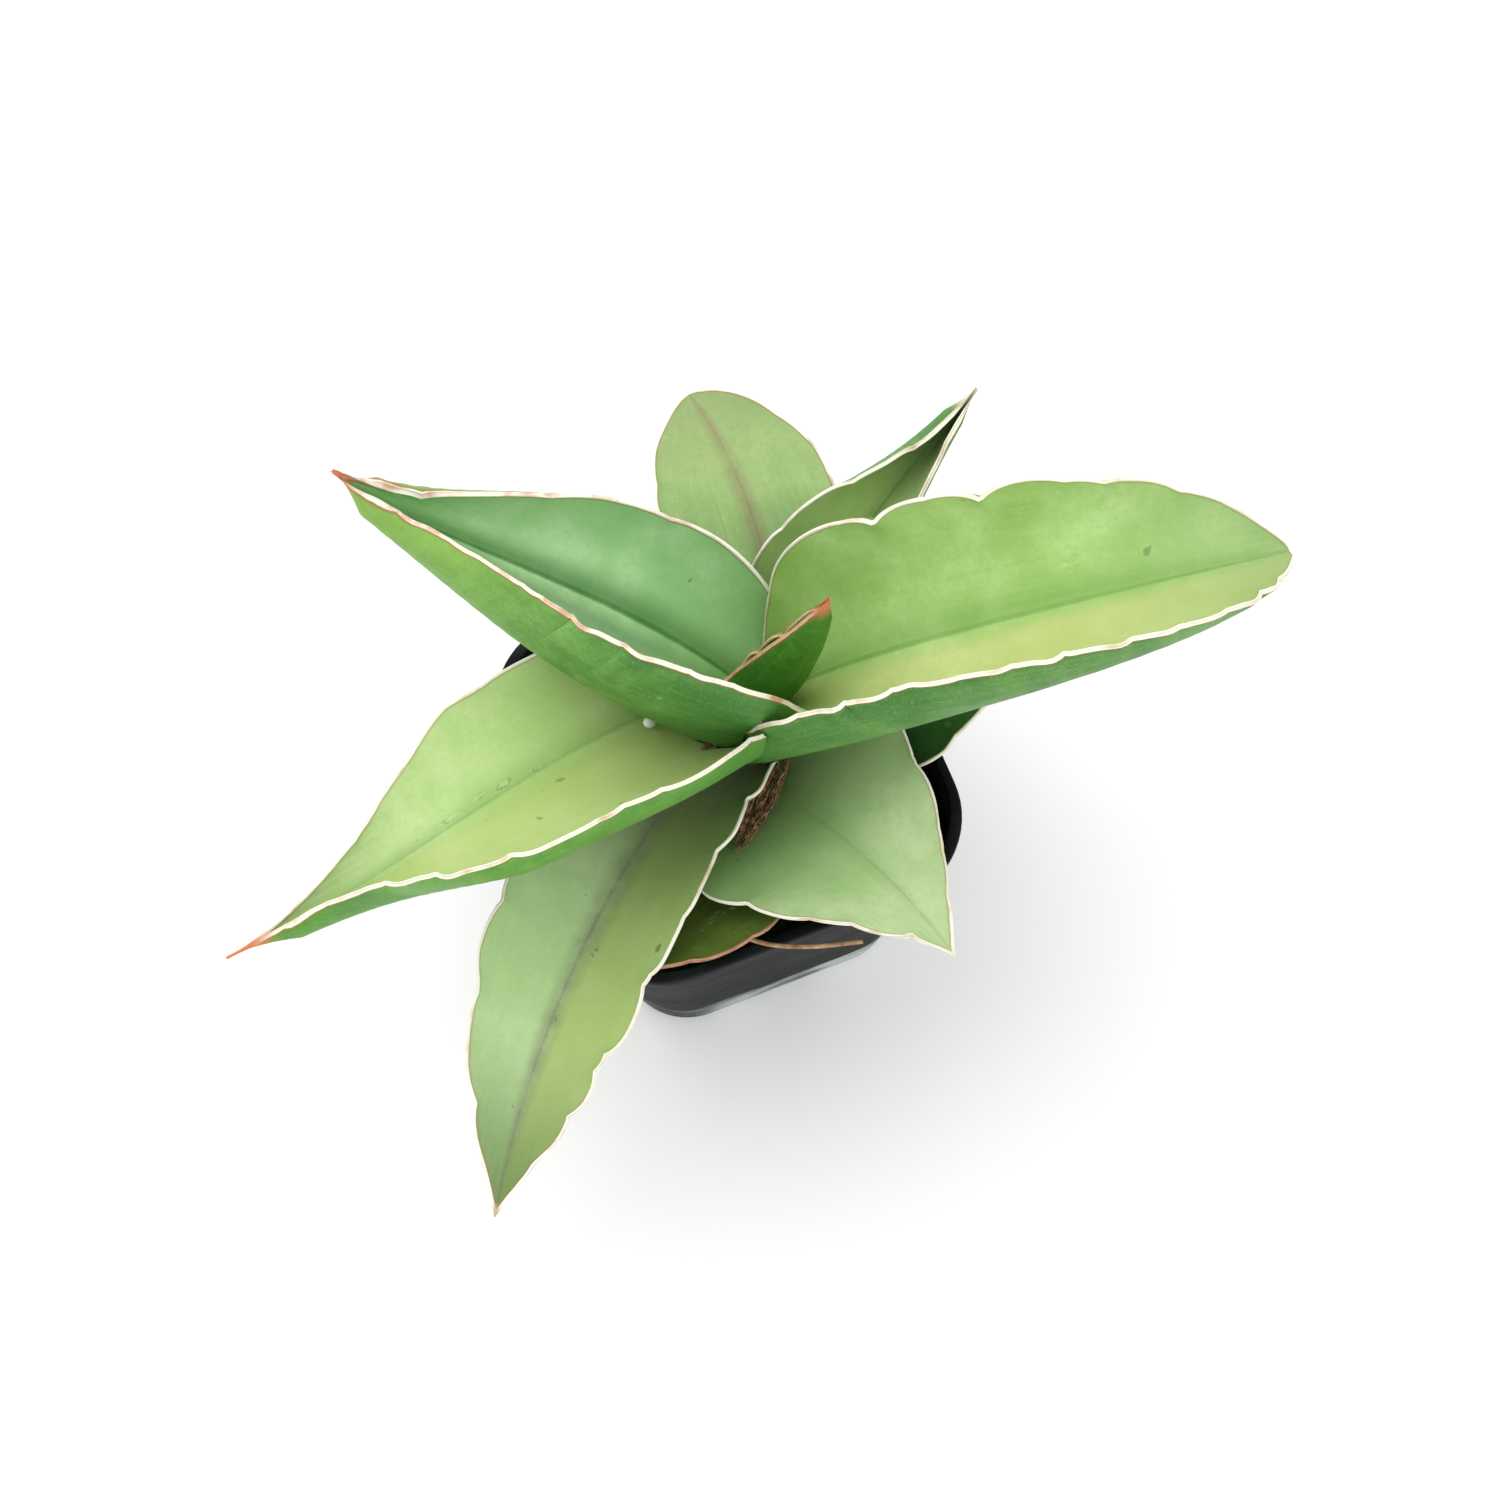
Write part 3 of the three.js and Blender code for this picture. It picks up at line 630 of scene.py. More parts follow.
def leaf_points(shape, rows, columns, grow=0.0):
    """Points, margin distances and thickness of a blade, row by row from base to tip.

    rows are shares of the length, columns shares of the half width from -1 to 1. A blade that
    is grown stands out by that much on every side, and cuts its neighbours clear."""
    steps = np.linspace(0, 1, SPINE_STEPS)
    middle = (steps[1:] + steps[:-1]) / 2

    def heading(s):
        bearing = np.radians(shape["bearing"] + shape["sweep"] * s)
        climb = np.radians(through_three(shape["climb"], s))
        return np.stack([np.cos(climb) * np.cos(bearing),
                         np.cos(climb) * np.sin(bearing), np.sin(climb)], -1)

    travel = heading(middle) * shape["length"] * MM / len(middle)
    spine = np.vstack([np.zeros(3), np.cumsum(travel, 0)]) + np.array(shape["base"]) * MM
    centre = np.stack([np.interp(rows, steps, spine[:, axis]) for axis in range(3)], -1)
    along = heading(rows)
    centre[0] -= grow * along[0]
    centre[-1] += 2 * grow * along[-1]
    level = np.stack([-along[:, 1], along[:, 0], np.zeros(len(rows))], -1)
    level /= np.linalg.norm(level, axis=1)[:, None]
    upright = np.cross(along, level)
    roll = np.radians(np.interp(rows, [0, 1], shape["roll"]))[:, None]
    across = np.cos(roll) * level + np.sin(roll) * upright
    up = np.cos(roll) * upright - np.sin(roll) * level

    width = half_width(shape, rows)
    fold = np.radians(np.clip(through_three(shape["fold"], rows), *FOLD_LIMITS))
    side = np.sign(columns)[None]
    share = np.abs(columns)[None]
    slope_end = np.minimum(fold[:, None] * (1 + side * shape["lean"]), radians(STEEPEST_FOLD))
    reach = width[:, None] * (1 + side * shape["reach"]) + grow
    fine = (np.arange(ARC_STEPS) + 0.5) / ARC_STEPS
    offset = np.zeros((len(rows), len(columns)))
    height = np.zeros((len(rows), len(columns)))
    for column in range(len(columns)):
        part = share[0, column] * fine[None]
        slope = slope_end[:, column][:, None] * part ** shape["curl"]
        offset[:, column] = np.cos(slope).mean(1) * share[0, column]
        height[:, column] = np.sin(slope).mean(1) * share[0, column]
    slope = slope_end * share ** shape["curl"]

    # The margin runs in and out and dips up and down in uneven waves.
    ripple = np.zeros((len(rows), len(columns)))
    lift = np.zeros((len(rows), len(columns)))
    for sign, (size, count, phase) in zip((-1, 1), shape["waves"]):
        turn = 2 * pi * count * rows + phase * 2
        uneven = turn + 0.7 * np.sin(turn * 0.37 + phase) + 0.3 * np.sin(turn * 0.81)
        swing = 0.75 + 0.4 * np.sin(turn * 0.23 + 2 * phase)
        wave = 2 * np.abs(np.sin(uneven / 2)) ** 0.8 - 1.2
        late = 0.6 * np.sin(uneven - 0.9) - 0.6 * wave
        fade = np.clip(rows / WAVE_FADE, 0, 1) * np.clip((1 - rows) / WAVE_FADE, 0, 1)
        ripple += np.where(side == sign, (size * MM * swing * wave * fade)[:, None], 0)
        lift += np.where(side == sign, (size * MM * swing * late * fade)[:, None], 0)
    for notch_side, notch_row, depth in shape.get("notches", ()):
        dent = np.exp(-np.abs(rows - notch_row) * shape["length"] / NOTCH_REACH)
        ripple -= np.where(side == notch_side, (depth * MM * dent)[:, None], 0)
        lift += np.where(side == notch_side, (0.5 * depth * MM * dent)[:, None], 0)
    lean_side, loss = shape.get("narrow_foot", (1, 0))
    foot_loss = loss * np.exp(-((np.maximum(rows, 0) / FOOT_REACH) ** 2))
    reach = reach * (1 - np.where(side == lean_side, foot_loss[:, None], 0))
    near_edge = np.clip((share - MARGIN_BAND) / (1 - MARGIN_BAND), 0, 1) ** 2
    reach = reach + ripple * near_edge
    offset *= side * reach
    height *= reach
    normal = (-side * np.sin(slope))[..., None] * across[:, None]
    normal = normal + np.cos(slope)[..., None] * up[:, None]
    points = centre[:, None] + offset[..., None] * across[:, None]
    points = points + height[..., None] * up[:, None]
    edge_distance = np.maximum(reach, 0) * (1 - share)
    bead = BEAD[0] * np.exp(-((edge_distance / BEAD[1]) ** 2))
    groove = -shape["crease"] * MM * np.exp(-share * reach / CREASE_REACH)
    ribs = RIB[0] * np.sin(share * reach / RIB[1] * 2 * pi) * (1 - near_edge)
    lip = np.clip(1 - edge_distance / (LEAF_EDGE / 2), 0, 1)
    rounded = 0.46 * LEAF_EDGE * (1 - np.sqrt(1 - lip ** 2)) if grow == 0 else 0 * lip
    stand = lift * near_edge + bead + groove + ribs + grow - rounded
    points = points + stand[..., None] * normal

    slim = np.clip(width / (4 * MM), 0.15, 1)[:, None]
    keel = np.maximum(shape["keel"] * MM * (1 - TIP_THINNING * rows), LEAF_EDGE)[:, None]
    thickness = slim * (LEAF_EDGE + (keel - LEAF_EDGE) * (1 - share ** 2) - 2 * rounded)
    return points, edge_distance, thickness + bead + 0.6 * groove + 2 * grow


def make_blade(name, shape, grid, grow=0.0):
    """A closed blade: its face is a shaped grid, and Solidify gives it its fleshy back."""
    deselect_all()
    across, lengthwise = grid
    bpy.ops.mesh.primitive_grid_add(x_subdivisions=across, y_subdivisions=lengthwise, size=2)
    leaf = bpy.context.object
    leaf.name = name
    mesh = leaf.data
    flat = np.zeros(len(mesh.vertices) * 3)
    mesh.vertices.foreach_get("co", flat)
    flat = flat.reshape(-1, 3)
    column_of = np.rint((flat[:, 0] + 1) / 2 * across).astype(int)
    row_of = np.rint((flat[:, 1] + 1) / 2 * lengthwise).astype(int)
    columns = -np.sin(np.linspace(-1, 1, across + 1) * pi / 2)
    rows = np.linspace(0, 1, lengthwise + 1) ** 0.93
    rows[-1] = TIP_END
    points, edge_distance, thickness = leaf_points(shape, rows, columns, grow)
    mesh.vertices.foreach_set("co", points[row_of, column_of].ravel())

    # Two maps follow the blade: where a point is across and along it, and how far it is from
    # the margin and the tip.
    corner = np.zeros(len(mesh.loops), int)
    mesh.loops.foreach_get("vertex_index", corner)
    mesh.uv_layers[0].name = "blade"
    mesh.uv_layers.new(name="edge")
    where = np.stack([(columns[column_of[corner]] + 1) / 2, rows[row_of[corner]]], -1)
    mesh.uv_layers["blade"].data.foreach_set("uv", where.ravel())
    tip_distance = (1 - rows[row_of[corner]]) * shape["length"] * MM
    near = np.stack([edge_distance[row_of, column_of][corner] / EDGE_MAP_WIDTH,
                     tip_distance / EDGE_MAP_LENGTH], -1)
    mesh.uv_layers["edge"].data.foreach_set("uv", near.ravel())

    thick = leaf.vertex_groups.new(name="thick")
    most = float(thickness.max())
    share = (thickness / most)[row_of, column_of]
    for vertex, weight in enumerate(share):
        thick.add([vertex], float(weight), "REPLACE")
    wall = leaf.modifiers.new("flesh", "SOLIDIFY")
    wall.thickness = most
    wall.offset = -1
    wall.vertex_group = "thick"
    wall.material_offset = 1
    wall.material_offset_rim = 1
    mesh.materials.append(None)
    mesh.materials.append(None)
    bpy.ops.object.modifier_apply(modifier=wall.name)
    return leaf


def make_leaf(name, shape, younger):
    """One leaf, cut clear of the stem and the younger leaves that it wraps. A cut that would
    destroy it is tried again with the slower solver, and is left out if that fails too."""
    leaf = make_blade(name + "_blade", shape, LEAF_GRID)
    own_tree = BVHTree.FromObject(leaf, bpy.context.evaluated_depsgraph_get())
    for other, tree in younger:
        if not own_tree.overlap(tree):
            continue
        whole = leaf.data.copy()
        for slow_cut in (False, True):
            cut = leaf.modifiers.new("clear", "BOOLEAN")
            cut.operation = "DIFFERENCE"
            cut.object = other
            cut.use_self = slow_cut
            bpy.context.view_layer.objects.active = leaf
            bpy.ops.object.modifier_apply(modifier=cut.name)
            clean_cut(leaf)
            if len(leaf.data.polygons) > WHOLE_SHARE * len(whole.polygons):
                break
            leaf.data = whole.copy()
    keep_largest(leaf)
    finish_mesh(leaf, 60)
    return leaf


def clean_cut(piece):
    """Closes and merges the slivers that a cut leaves, so that the next cut meets a sound body."""
    body = bmesh.new()
    body.from_mesh(piece.data)
    bmesh.ops.remove_doubles(body, verts=body.verts, dist=SLIVER_REACH)
    bmesh.ops.dissolve_degenerate(body, edges=body.edges, dist=SLIVER_REACH)
    open_edges = [edge for edge in body.edges if edge.is_boundary]
    bmesh.ops.holes_fill(body, edges=open_edges, sides=0)
    body.to_mesh(piece.data)
    body.free()


def drop_flaps(body):
    """Takes off faces of no thickness, which lie back to back, in a few rounds."""
    for _ in range(FLAP_ROUNDS):
        twins = {}
        for face in body.faces:
            twins.setdefault(frozenset(vertex.index for vertex in face.verts), []).append(face)
        flaps = [face for same in twins.values() if len(same) > 1 for face in same]
        flaps += [face for face in body.faces
                  if face not in flaps and any(edge.is_boundary for edge in face.edges)
                  and any(len(edge.link_faces) > 2 for edge in face.edges)]
        if not flaps:
            break
        bmesh.ops.delete(body, geom=flaps, context="FACES")
        body.verts.index_update()


def keep_largest(piece):
    """Leaves one closed body: without flaps, holes, or the scraps that a cut leaves beside it."""
    body = bmesh.new()
    body.from_mesh(piece.data)
    bmesh.ops.remove_doubles(body, verts=body.verts, dist=MERGE_REACH)
    bmesh.ops.dissolve_degenerate(body, edges=body.edges, dist=MERGE_REACH)
    bmesh.ops.triangulate(body, faces=body.faces[:])
    body.verts.index_update()
    drop_flaps(body)
    open_edges = [edge for edge in body.edges if edge.is_boundary]
    bmesh.ops.holes_fill(body, edges=open_edges, sides=0)
    left = set(body.faces)
    islands = []
    while left:
        front = [left.pop()]
        island = list(front)
        while front:
            for edge in front.pop().edges:
                if len(edge.link_faces) != 2:
                    continue
                for face in edge.link_faces:
                    if face in left:
                        left.remove(face)
                        front.append(face)
                        island.append(face)
        islands.append(island)
    islands.sort(key=len)
    for island in islands[:-1]:
        bmesh.ops.delete(body, geom=island, context="FACES")
    open_edges = [edge for edge in body.edges if edge.is_boundary]
    bmesh.ops.holes_fill(body, edges=open_edges, sides=0)
    bmesh.ops.triangulate(body, faces=[face for face in body.faces if len(face.verts) > 3])
    body.verts.index_update()
    drop_flaps(body)
    body.to_mesh(piece.data)
    body.free()


def leaf_material(name, shape, looks, back):
    """Waxy leaf skin: mottled green, faint cross bands and veins, a darker midrib, a cream
    horny margin with a thin red-brown line inside it, and a dry tip. Painted shade darkens the
    base and the midrib's crease, and on the face painted light and shade tint one half of the
    fold and the side of the crease beside it."""
    material, shader = new_material(name)
    place = object_place(shader)
    blade_map = add_node(shader, "UVMap")
    blade_map.uv_map = "blade"
    edge_map = add_node(shader, "UVMap")
    edge_map.uv_map = "edge"
    blade = blade_map.outputs["UV"]
    split = add_node(shader, "SeparateXYZ", Vector=blade)
    split_edge = add_node(shader, "SeparateXYZ", Vector=edge_map.outputs["UV"])
    u = split.outputs["X"]
    v = split.outputs["Y"]
    margin = maths("MULTIPLY", split_edge.outputs["X"], EDGE_MAP_WIDTH / MM)
    tip = maths("MULTIPLY", split_edge.outputs["Y"], EDGE_MAP_LENGTH / MM)

    # The skin: large soft mottles, cross bands, fine lengthwise veins.
    back_deep = looks["back_deep"]
    light, deep = (looks["back_light"], back_deep) if back else (looks["light"], looks["deep"])
    mottle = ranged(noise_at(place, 38, 4), 0.34, 0.68)
    skin = mixed(mottle, light, deep)
    bands = noise_at(stretched(blade, (1.6, 16 if back else 9, 1)), 1.6, 4, 0.6)
    band_share = maths("MULTIPLY", ranged(bands, 0.46, 0.66), 0.35 if back else 0.25)
    skin = mixed(band_share, skin, deep)
    veins = noise_at(stretched(blade, (70, 2.5, 1)), 1, 3, 0.5)
    vein_share = maths("MULTIPLY", ranged(veins, 0.4, 0.7), 0.08 if back else 0.16)
    skin = mixed(vein_share, skin, looks["vein"])
    blotches = ranged(noise_at(place, 110, 6, 0.65), 0.5, 0.68, 0.0, 0.5)
    skin = mixed(blotches, skin, deep)
    speckle = ranged(noise_at(place, 620, 4, 0.8), 0.5, 0.62, 0.0, 0.35)
    skin = mixed(speckle, skin, deep)
    flecks = ranged(noise_at(place, 830, 4, 0.8), 0.56, 0.66, 0.0, 0.12 if back else 0.3)
    skin = mixed(flecks, skin, looks["freckle"])
    # Painted light and shade on the face: one half of the fold is tinted lighter or darker.
    if not back:
        half_shading_side, half_shading_tint, half_shading_share = looks["half"]
        beside = maths("MULTIPLY", maths("SUBTRACT", u, 0.5), half_shading_side)
        skin = mixed(ranged(beside, 0.0, 0.06, 0.0, half_shading_share), skin, half_shading_tint)
        # Painted shade along the crease, on the half that is not tinted.
        away = maths("MULTIPLY", beside, -1)
        shade = maths("MULTIPLY", ranged(away, 0.0, 0.16, looks["crease_side_shade_share"], 0.0),
                      ranged(away, -0.012, 0.0))
        skin = mixed(shade, skin, looks["rib_and_shade"])
    # Painted shade: the base darkens where the leaves overlap near the stem.
    foot_shade_share = 0.8 if back else looks["foot_shade_share"]
    base_shade = ranged(v, 0.0, looks["foot_shade_reach"], foot_shade_share, 0.0)
    skin = mixed(base_shade, skin, back_deep if back else looks["foot"])
    toward_tip = ranged(v, looks["end_from"], 1.0, 0.0, looks["end_share"])
    if not back:
        skin = mixed(toward_tip, skin, looks["end"])
    elif "back_end" in looks:
        skin = mixed(toward_tip, skin, looks["back_end"])
    pores = noise_at(place, 1500, 2, 0.7)
    freckles = noise_at(stretched(blade, (60, 200, 1)), 2.0, 3, 0.7)
    freckle_share = maths("MULTIPLY", ranged(freckles, 0.56, 0.7), 0.3 if back else 0.1)
    skin = mixed(freckle_share, skin, looks["freckle"])

    # The midrib: a soft darker trough of its own colour, in older leaves a brown streak, and a
    # thin line of painted shade in its crease.
    aside = maths("ABSOLUTE", maths("SUBTRACT", u, 0.5))
    wander = maths("MULTIPLY", noise_at(stretched(blade, (1, 8, 1)), 1.2, 3), 0.05)
    trough = ranged(maths("ADD", aside, wander), 0.025, 0.12, looks["rib_share"], 0.0)
    worn = ranged(noise_at(place, 170, 5, 0.65), 0.3, 0.66, 0.55, 1.0)
    if not back:
        skin = mixed(maths("MULTIPLY", trough, worn), skin, looks["rib_and_shade"])
    # Painted shade: a thin dark line in the crease.
    crease = ranged(aside, 0.004, 0.013, looks["crease_shade_share"], 0.0)
    skin = mixed(maths("MULTIPLY", crease, worn), skin, looks["rib_and_shade"])

    # Old marks: pale rub marks, and small dark scars of lost drops.
    rubs = ranged(noise_at(place, 95, 6, 0.7), 0.66, 0.74, 0.0, 0.35)
    skin = mixed(rubs, skin, looks["rub"])
    pits = ranged(noise_at(place, 210, 2, 0.5), 0.72, 0.78, 0.0, 0.6)
    skin = mixed(pits, skin, looks["pit"])

    width = 2 * shape["half"]
    length = shape["length"] * SCAR_SHAPE
    for across, along, radius in looks["scars"]:
        from_scar = add_node(blade, "Mapping", Vector=blade, Scale=(width, length, 0),
                             Location=(-across * width, -along * length, 0))
        away = add_node(blade, "VectorMath", Vector=from_scar.outputs["Vector"])
        away.operation = "LENGTH"
        ragged = maths("ADD", away.outputs["Value"],
                       maths("MULTIPLY", noise_at(place, 400, 4, 0.7), 2.2))
        inside = ranged(ragged, radius + 0.7, radius + 1.2, 0.18, 0.0)
        skin = mixed(inside, skin, looks["rub"])
        ring = maths("MULTIPLY", ranged(ragged, radius + 0.4, radius + 0.9),
                     ranged(ragged, radius + 0.9, radius + 1.4, 0.55, 0.0))
        ring = maths("MULTIPLY", ring, ranged(noise_at(place, 650, 3), 0.47, 0.58))
        skin = mixed(ring, skin, looks["pit"])

    # The horny margin, uneven in width, and the dry tip.
    uneven = maths("MULTIPLY", noise_at(place, 130, 3), 0.7)
    from_edge = maths("SUBTRACT", margin, maths("SUBTRACT", uneven, 0.35))
    line = ranged(from_edge, 0.62, 1.05, looks["line_share"], 0.0)
    skin = mixed(line, skin, looks["line"])
    horn = ranged(from_edge, 0.42, 0.66, 1.0, 0.0)
    horn_tone = mixed(ranged(noise_at(place, 160, 4), 0.45, 0.75), looks["horn"],
                      looks["horn_dark"])
    skin = mixed(horn, skin, horn_tone)
    dry_reach = maths("ADD", tip, maths("MULTIPLY", noise_at(place, 120, 3), 3.0))
    dry = ranged(dry_reach, looks["dry_tip"] * 0.45, looks["dry_tip"], 1.0, 0.0)
    skin = mixed(dry, skin, looks["tip"])

    gloss = ranged(noise_at(place, 60, 4), 0.3, 0.7, 0.42, 0.56)
    rough = maths("ADD", gloss, maths("MULTIPLY", horn, 0.2))
    set_inputs(shader, Base_Color=skin, Roughness=rough,
               Specular_IOR_Level=0.14 if back else looks["sheen"])
    relief = maths("ADD", maths("MULTIPLY", veins, 0.5), maths("MULTIPLY", pores, 0.35))
    relief = maths("ADD", relief, maths("MULTIPLY", freckles, 0.4))
    roughen(shader, relief, 0.35, 0.3 * MM)
    return material


# The colours that all the leaves share, and then what is different on each. The foot is painted
# shade at the base, where the leaves overlap; the end is the colour that the outer part of the
# blade turns to, and the tip has its own dry colour. half is painted light and shade on one half
# of the fold: the half, the tint and how strong it is. The midrib's colour also paints the shade
# in and beside its crease, and scars are (place across, place along, radius mm). The back has an
# end only where given.
LEAF_LOOKS = dict(
    light=(0.46, 0.65, 0.23), deep=(0.29, 0.49, 0.13), back_light=(0.15, 0.34, 0.07),
    back_deep=(0.05, 0.18, 0.03), vein=(0.5, 0.66, 0.28), foot=(0.2, 0.36, 0.08),
    foot_shade_reach=0.35, foot_shade_share=0.55, end=(0.4, 0.56, 0.2), end_from=0.55, end_share=0.6,
    half=(1, (0.4, 0.5, 0.14), 0.0), freckle=(0.5, 0.66, 0.36), rib_and_shade=(0.12, 0.25, 0.05),
    rib_share=0.3, crease_side_shade_share=0.0, crease_shade_share=0.4, rub=(0.6, 0.74, 0.44),
    pit=(0.12, 0.16, 0.06), line=(0.32, 0.1, 0.05), line_share=0.5,
    horn=(0.84, 0.82, 0.7), horn_dark=(0.68, 0.54, 0.38), tip=(0.62, 0.22, 0.1),
    dry_tip=3.0, sheen=0.2, scars=())
LEAF_DIFFERENCES = {
    "leaf_heart": dict(
        light=(0.16, 0.36, 0.07), deep=(0.1, 0.25, 0.04), end=(0.2, 0.4, 0.08),
        back_light=(0.07, 0.25, 0.025), back_deep=(0.035, 0.15, 0.01), dry_tip=9.0,
        freckle=(0.14, 0.36, 0.07), line_share=0.9, horn=(0.75, 0.55, 0.35),
        horn_dark=(0.55, 0.25, 0.12)),
    "leaf_right_large": dict(
        light=(0.5, 0.71, 0.3), foot=(0.38, 0.58, 0.12), half=(-1, (0.54, 0.5, 0.2), 0.55),
        crease_side_shade_share=0.45, rib_and_shade=(0.17, 0.33, 0.07), crease_shade_share=0.75,
        end=(0.25, 0.38, 0.15), end_share=0.65,
        dry_tip=0.4, back_light=(0.13, 0.31, 0.065)),
    "leaf_left_upper": dict(
        light=(0.54, 0.79, 0.43), deep=(0.32, 0.6, 0.25), end=(0.2, 0.44, 0.14),
        foot=(0.24, 0.46, 0.14), half=(1, (0.11, 0.2, 0.1), 0.7), crease_side_shade_share=0.75,
        rib_and_shade=(0.05, 0.18, 0.03), crease_shade_share=0.8, dry_tip=11.0, line_share=0.8,
        horn_dark=(0.6, 0.36, 0.22), back_end=(0.32, 0.52, 0.1), end_from=0.4,
        freckle=(0.4, 0.62, 0.36)),
    "leaf_left_lower": dict(
        light=(0.5, 0.64, 0.3), deep=(0.36, 0.53, 0.18), foot=(0.3, 0.42, 0.12),
        end=(0.12, 0.22, 0.06), end_from=0.52, end_share=0.8,
        half=(1, (0.4, 0.47, 0.13), 0.5), crease_side_shade_share=0.3, rib_and_shade=(0.18, 0.32, 0.07),
        dry_tip=14.0, back_light=(0.16, 0.38, 0.06), back_deep=(0.07, 0.24, 0.03),
        scars=((0.47, 0.42, 1.1), (0.45, 0.47, 0.8), (0.46, 0.53, 1.0), (0.49, 0.35, 0.6),
               (0.44, 0.6, 0.7))),
    # Painted light: this leaf's very pale colours lift its inside out of the shade of the large
    # right leaf.
    "leaf_back_right": dict(
        light=(0.7, 0.86, 0.42), deep=(0.54, 0.7, 0.28), foot=(0.46, 0.62, 0.22),
        end=(0.02, 0.08, 0.012), end_from=0.45, end_share=0.95, tip=(0.62, 0.58, 0.42),
        dry_tip=9.0, sheen=0.1),
    "leaf_back": dict(
        light=(0.34, 0.48, 0.18), deep=(0.24, 0.38, 0.13), foot=(0.32, 0.5, 0.17),
        end=(0.2, 0.26, 0.1), rib_and_shade=(0.24, 0.16, 0.1), rib_share=0.55,
        horn_dark=(0.5, 0.34, 0.24), line_share=0.6, dry_tip=0.8, freckle=(0.44, 0.6, 0.32),
        scars=((0.43, 0.6, 0.3),)),
    "leaf_front": dict(
        light=(0.5, 0.66, 0.36), deep=(0.37, 0.54, 0.24), foot=(0.05, 0.08, 0.02),
        foot_shade_reach=0.45, foot_shade_share=0.95, end=(0.1, 0.17, 0.05), end_from=0.58,
        end_share=0.85, half=(1, (0.36, 0.44, 0.11), 0.6), rib_and_shade=(0.14, 0.13, 0.08),
        rib_share=0.55, tip=(0.5, 0.38, 0.22), dry_tip=5.0, back_light=(0.22, 0.42, 0.14),
        back_deep=(0.12, 0.28, 0.07), pit=(0.06, 0.08, 0.04), crease_shade_share=0.3,
        scars=((0.52, 0.63, 0.3), (0.42, 0.8, 0.2), (0.4, 0.4, 0.3), (0.56, 0.5, 0.4))),
    "leaf_front_right": dict(
        light=(0.54, 0.67, 0.36), deep=(0.36, 0.54, 0.22), foot=(0.05, 0.12, 0.02),
        foot_shade_reach=0.62, foot_shade_share=0.92, end=(0.46, 0.57, 0.3), rib_share=0.25,
        tip=(0.74, 0.68, 0.52), dry_tip=5.0, crease_shade_share=0.25),
    # Painted shade: this leaf's colours are darkened to the shade that the large right leaf casts
    # on it.
    "leaf_under_right": dict(
        light=(0.05, 0.16, 0.035), deep=(0.025, 0.1, 0.018), end=(0.06, 0.19, 0.04),
        foot=(0.006, 0.02, 0.003), foot_shade_reach=0.6, foot_shade_share=0.95,
        vein=(0.06, 0.16, 0.04), rub=(0.1, 0.2, 0.06),
        freckle=(0.1, 0.24, 0.08), sheen=0.06),
    "leaf_old_low": dict(
        light=(0.13, 0.19, 0.03), deep=(0.08, 0.12, 0.02), foot=(0.06, 0.08, 0.02),
        end=(0.22, 0.21, 0.07), horn=(0.5, 0.3, 0.18), horn_dark=(0.28, 0.14, 0.08),
        freckle=(0.22, 0.3, 0.1), vein=(0.2, 0.28, 0.08), tip=(0.4, 0.22, 0.12),
        dry_tip=8.0, line_share=0.9, sheen=0.1),
}


def as_cutter(grown):
    """Hides a grown body, and pairs it with the tree that tells which leaves it meets."""
    grown.hide_render = True
    return grown, BVHTree.FromObject(grown, bpy.context.evaluated_depsgraph_get())


younger = [as_cutter(make_stem("cutter", STEM_CLEARANCE))]
for leaf_name, shape in LEAF_SHAPES.items():
    leaf = make_leaf(leaf_name, shape, younger)
    looks = {**LEAF_LOOKS, **LEAF_DIFFERENCES[leaf_name]}
    leaf.data.materials[0] = leaf_material(leaf_name + "_face", shape, looks, back=False)
    leaf.data.materials[1] = leaf_material(leaf_name + "_back", shape, looks, back=True)
    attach(leaf, "root")
    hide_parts(leaf_name)
    younger.append(as_cutter(make_blade("cutter", shape, CUTTER_GRID, LEAF_CLEARANCE)))
for cutter, _ in younger:
    bpy.data.objects.remove(cutter)


# ---- The dry sheath and scale ----
# What is left of the oldest leaf bases: a few brown fibres that lie on the crown in a frayed
# strip, and a small wisp of them beside the largest leaf.

DRY_PIECES = {
    "dry_sheath": (dict(
        base=(13.8, 0.5, 85.2), bearing=246, sweep=0, climb=(-3, 12, 22), length=30, half=3.4,
        base_share=0.6, widest=0.5, taper=(1.7, 0.9), fold=(40, 40, 25), roll=(0, 0),
        keel=1.3, lean=0, reach=0, curl=0.6, crease=0, waves=((0, 1, 0), (0, 1, 0))), 64),
    "dry_scale": (dict(
        base=(0.5, -7.2, 111.3), bearing=205, sweep=0, climb=(2, 0, 0), length=6, half=1.3,
        base_share=0.6, widest=0.4, taper=(1.6, 0.9), fold=(30, 30, 20), roll=(0, 0),
        keel=0.9, lean=0, reach=0, curl=0.6, crease=0, waves=((0, 1, 0), (0, 1, 0))), 14),
}


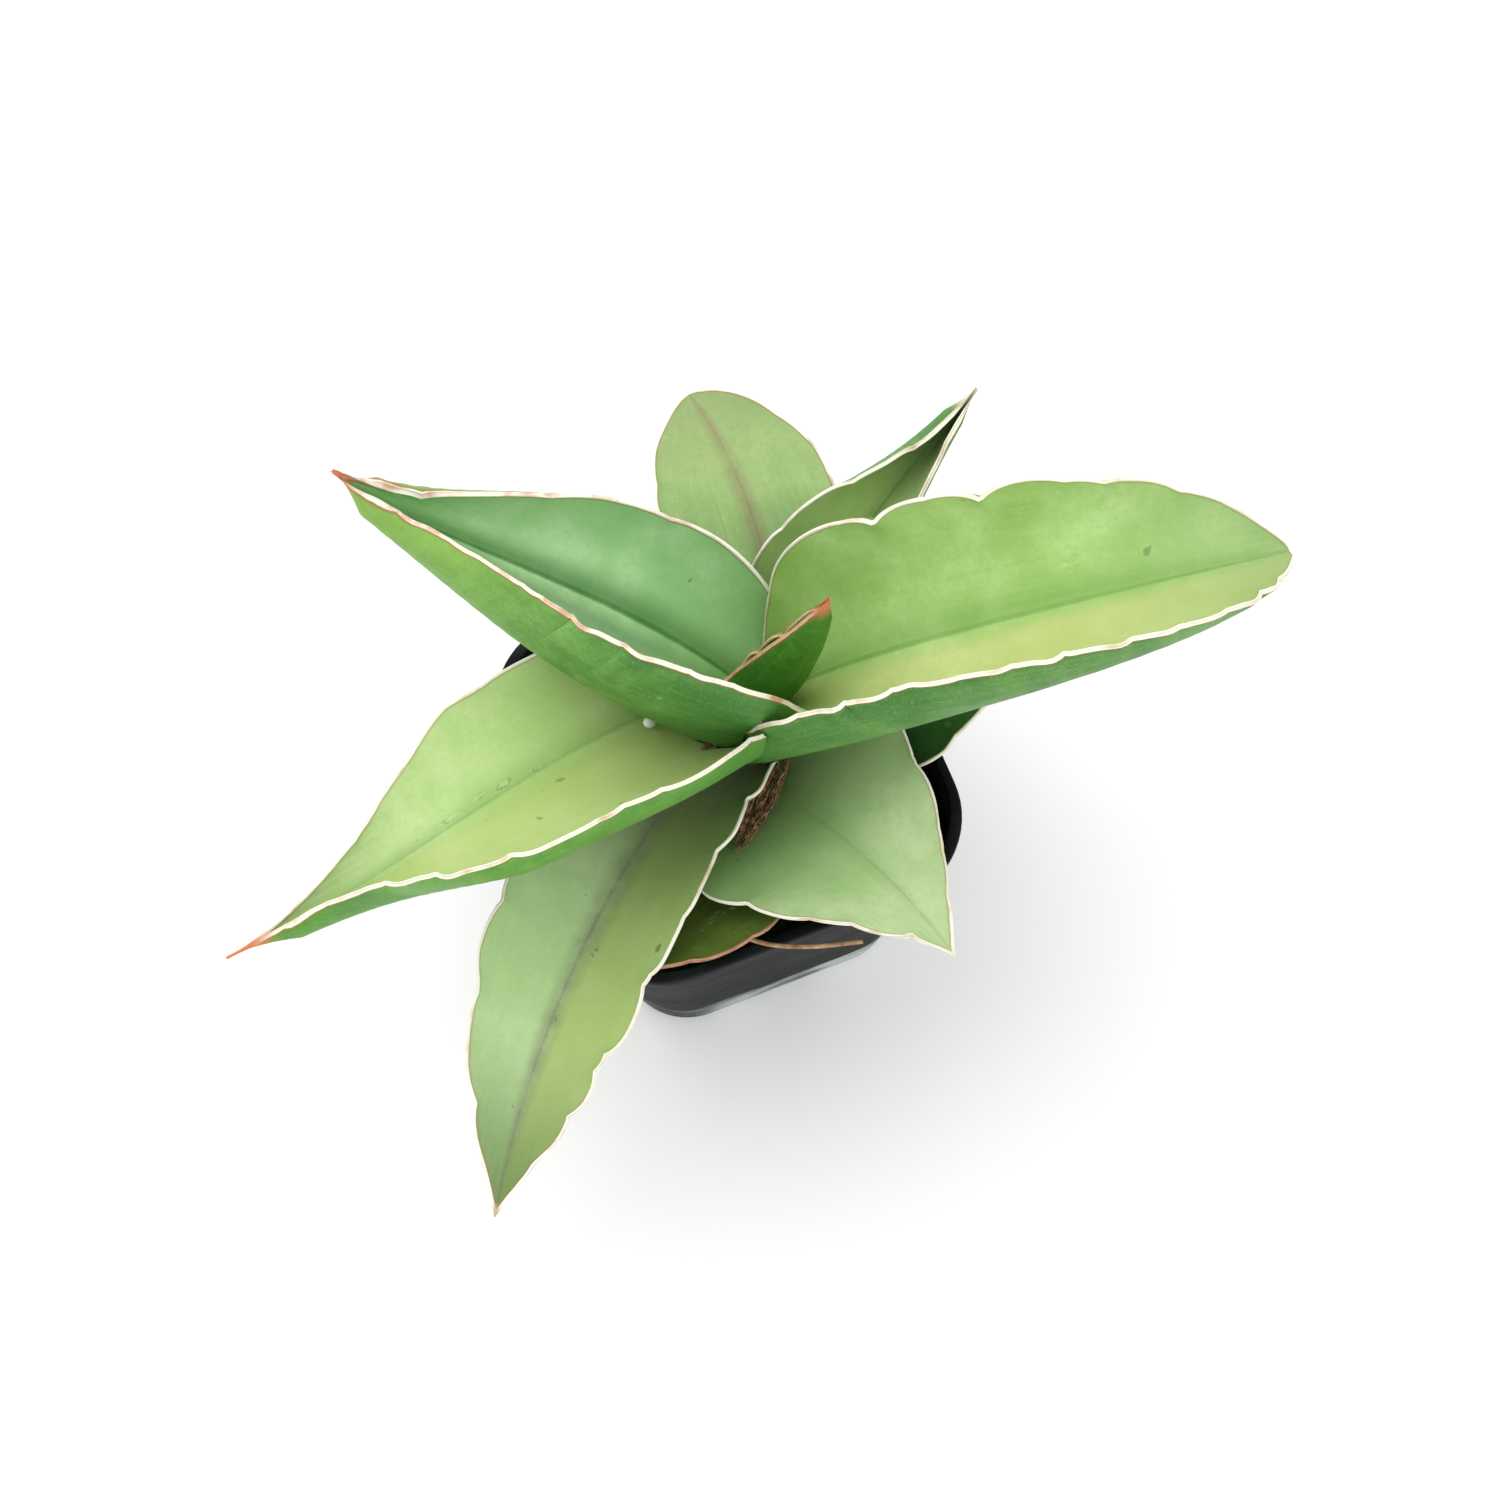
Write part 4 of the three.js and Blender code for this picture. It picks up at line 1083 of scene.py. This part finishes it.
def make_fibres(name, shape, count, seed):
    """Thin frayed fibres strewn along the shape of the leaf base that they come from."""
    chance = np.random.default_rng(seed)
    rows = np.linspace(0, 0.97, 40)
    columns = np.linspace(-1, 1, 21)
    surface, _, _ = leaf_points(shape, rows, columns)
    curve = bpy.data.curves.new(name, "CURVE")
    curve.dimensions = "3D"
    curve.bevel_depth = 1.0
    curve.bevel_resolution = 1
    curve.use_fill_caps = True
    for _ in range(count):
        first = chance.uniform(0, 0.6)
        last = min(1, first + chance.uniform(0.25, 0.7))
        column = chance.uniform(-0.9, 0.9)
        drift = chance.uniform(-0.35, 0.35)
        lift = chance.uniform(0.2, 1.8) * MM
        thickness = chance.uniform(0.08, 0.28) * MM
        spline = curve.splines.new("POLY")
        spline.points.add(8)
        for step, point in enumerate(spline.points):
            share = step / 8
            row = int((first + (last - first) * share) * 39)
            across = int(np.clip((column + drift * share + 1) * 10, 0, 20))
            place = surface[row, across] + chance.uniform(-0.4, 0.4, 3) * MM
            place[2] += lift * sin(pi * share)
            point.co = (*place, 1)
            point.radius = thickness * (1 - 0.7 * abs(2 * share - 1))
    fibres = bpy.data.objects.new(name, curve)
    scene.collection.objects.link(fibres)
    deselect_all()
    fibres.select_set(True)
    bpy.context.view_layer.objects.active = fibres
    bpy.ops.object.convert(target="MESH")
    fibres = bpy.context.object
    finish_mesh(fibres, 60)
    return fibres


fibre_material = crumbly_material("dry_fibre", (0.03, 0.012, 0.006), (0.42, 0.22, 0.12), 700)
for seed, (node_name, (shape, count)) in enumerate(DRY_PIECES.items()):
    fibres = make_fibres(node_name + "_fibres", shape, count, 40 + seed)
    fibres.data.materials.append(fibre_material)
    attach(fibres, "root")
    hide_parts(node_name)


# ---- The strand and the grain ----
# A dried fibre lies over the front of the rim, and a grain of perlite has come to rest on the
# lower left leaf. Both keep their shape and take their own finish.

for node_name, dark, light in (("dry_strand", (0.25, 0.12, 0.06), (0.55, 0.36, 0.2)),
                               ("perlite_grain", (0.6, 0.58, 0.54), (0.88, 0.87, 0.84))):
    finish = crumbly_material(node_name + "_finish", dark, light, 500)
    for slot in bpy.data.objects[node_name].material_slots:
        slot.material = finish
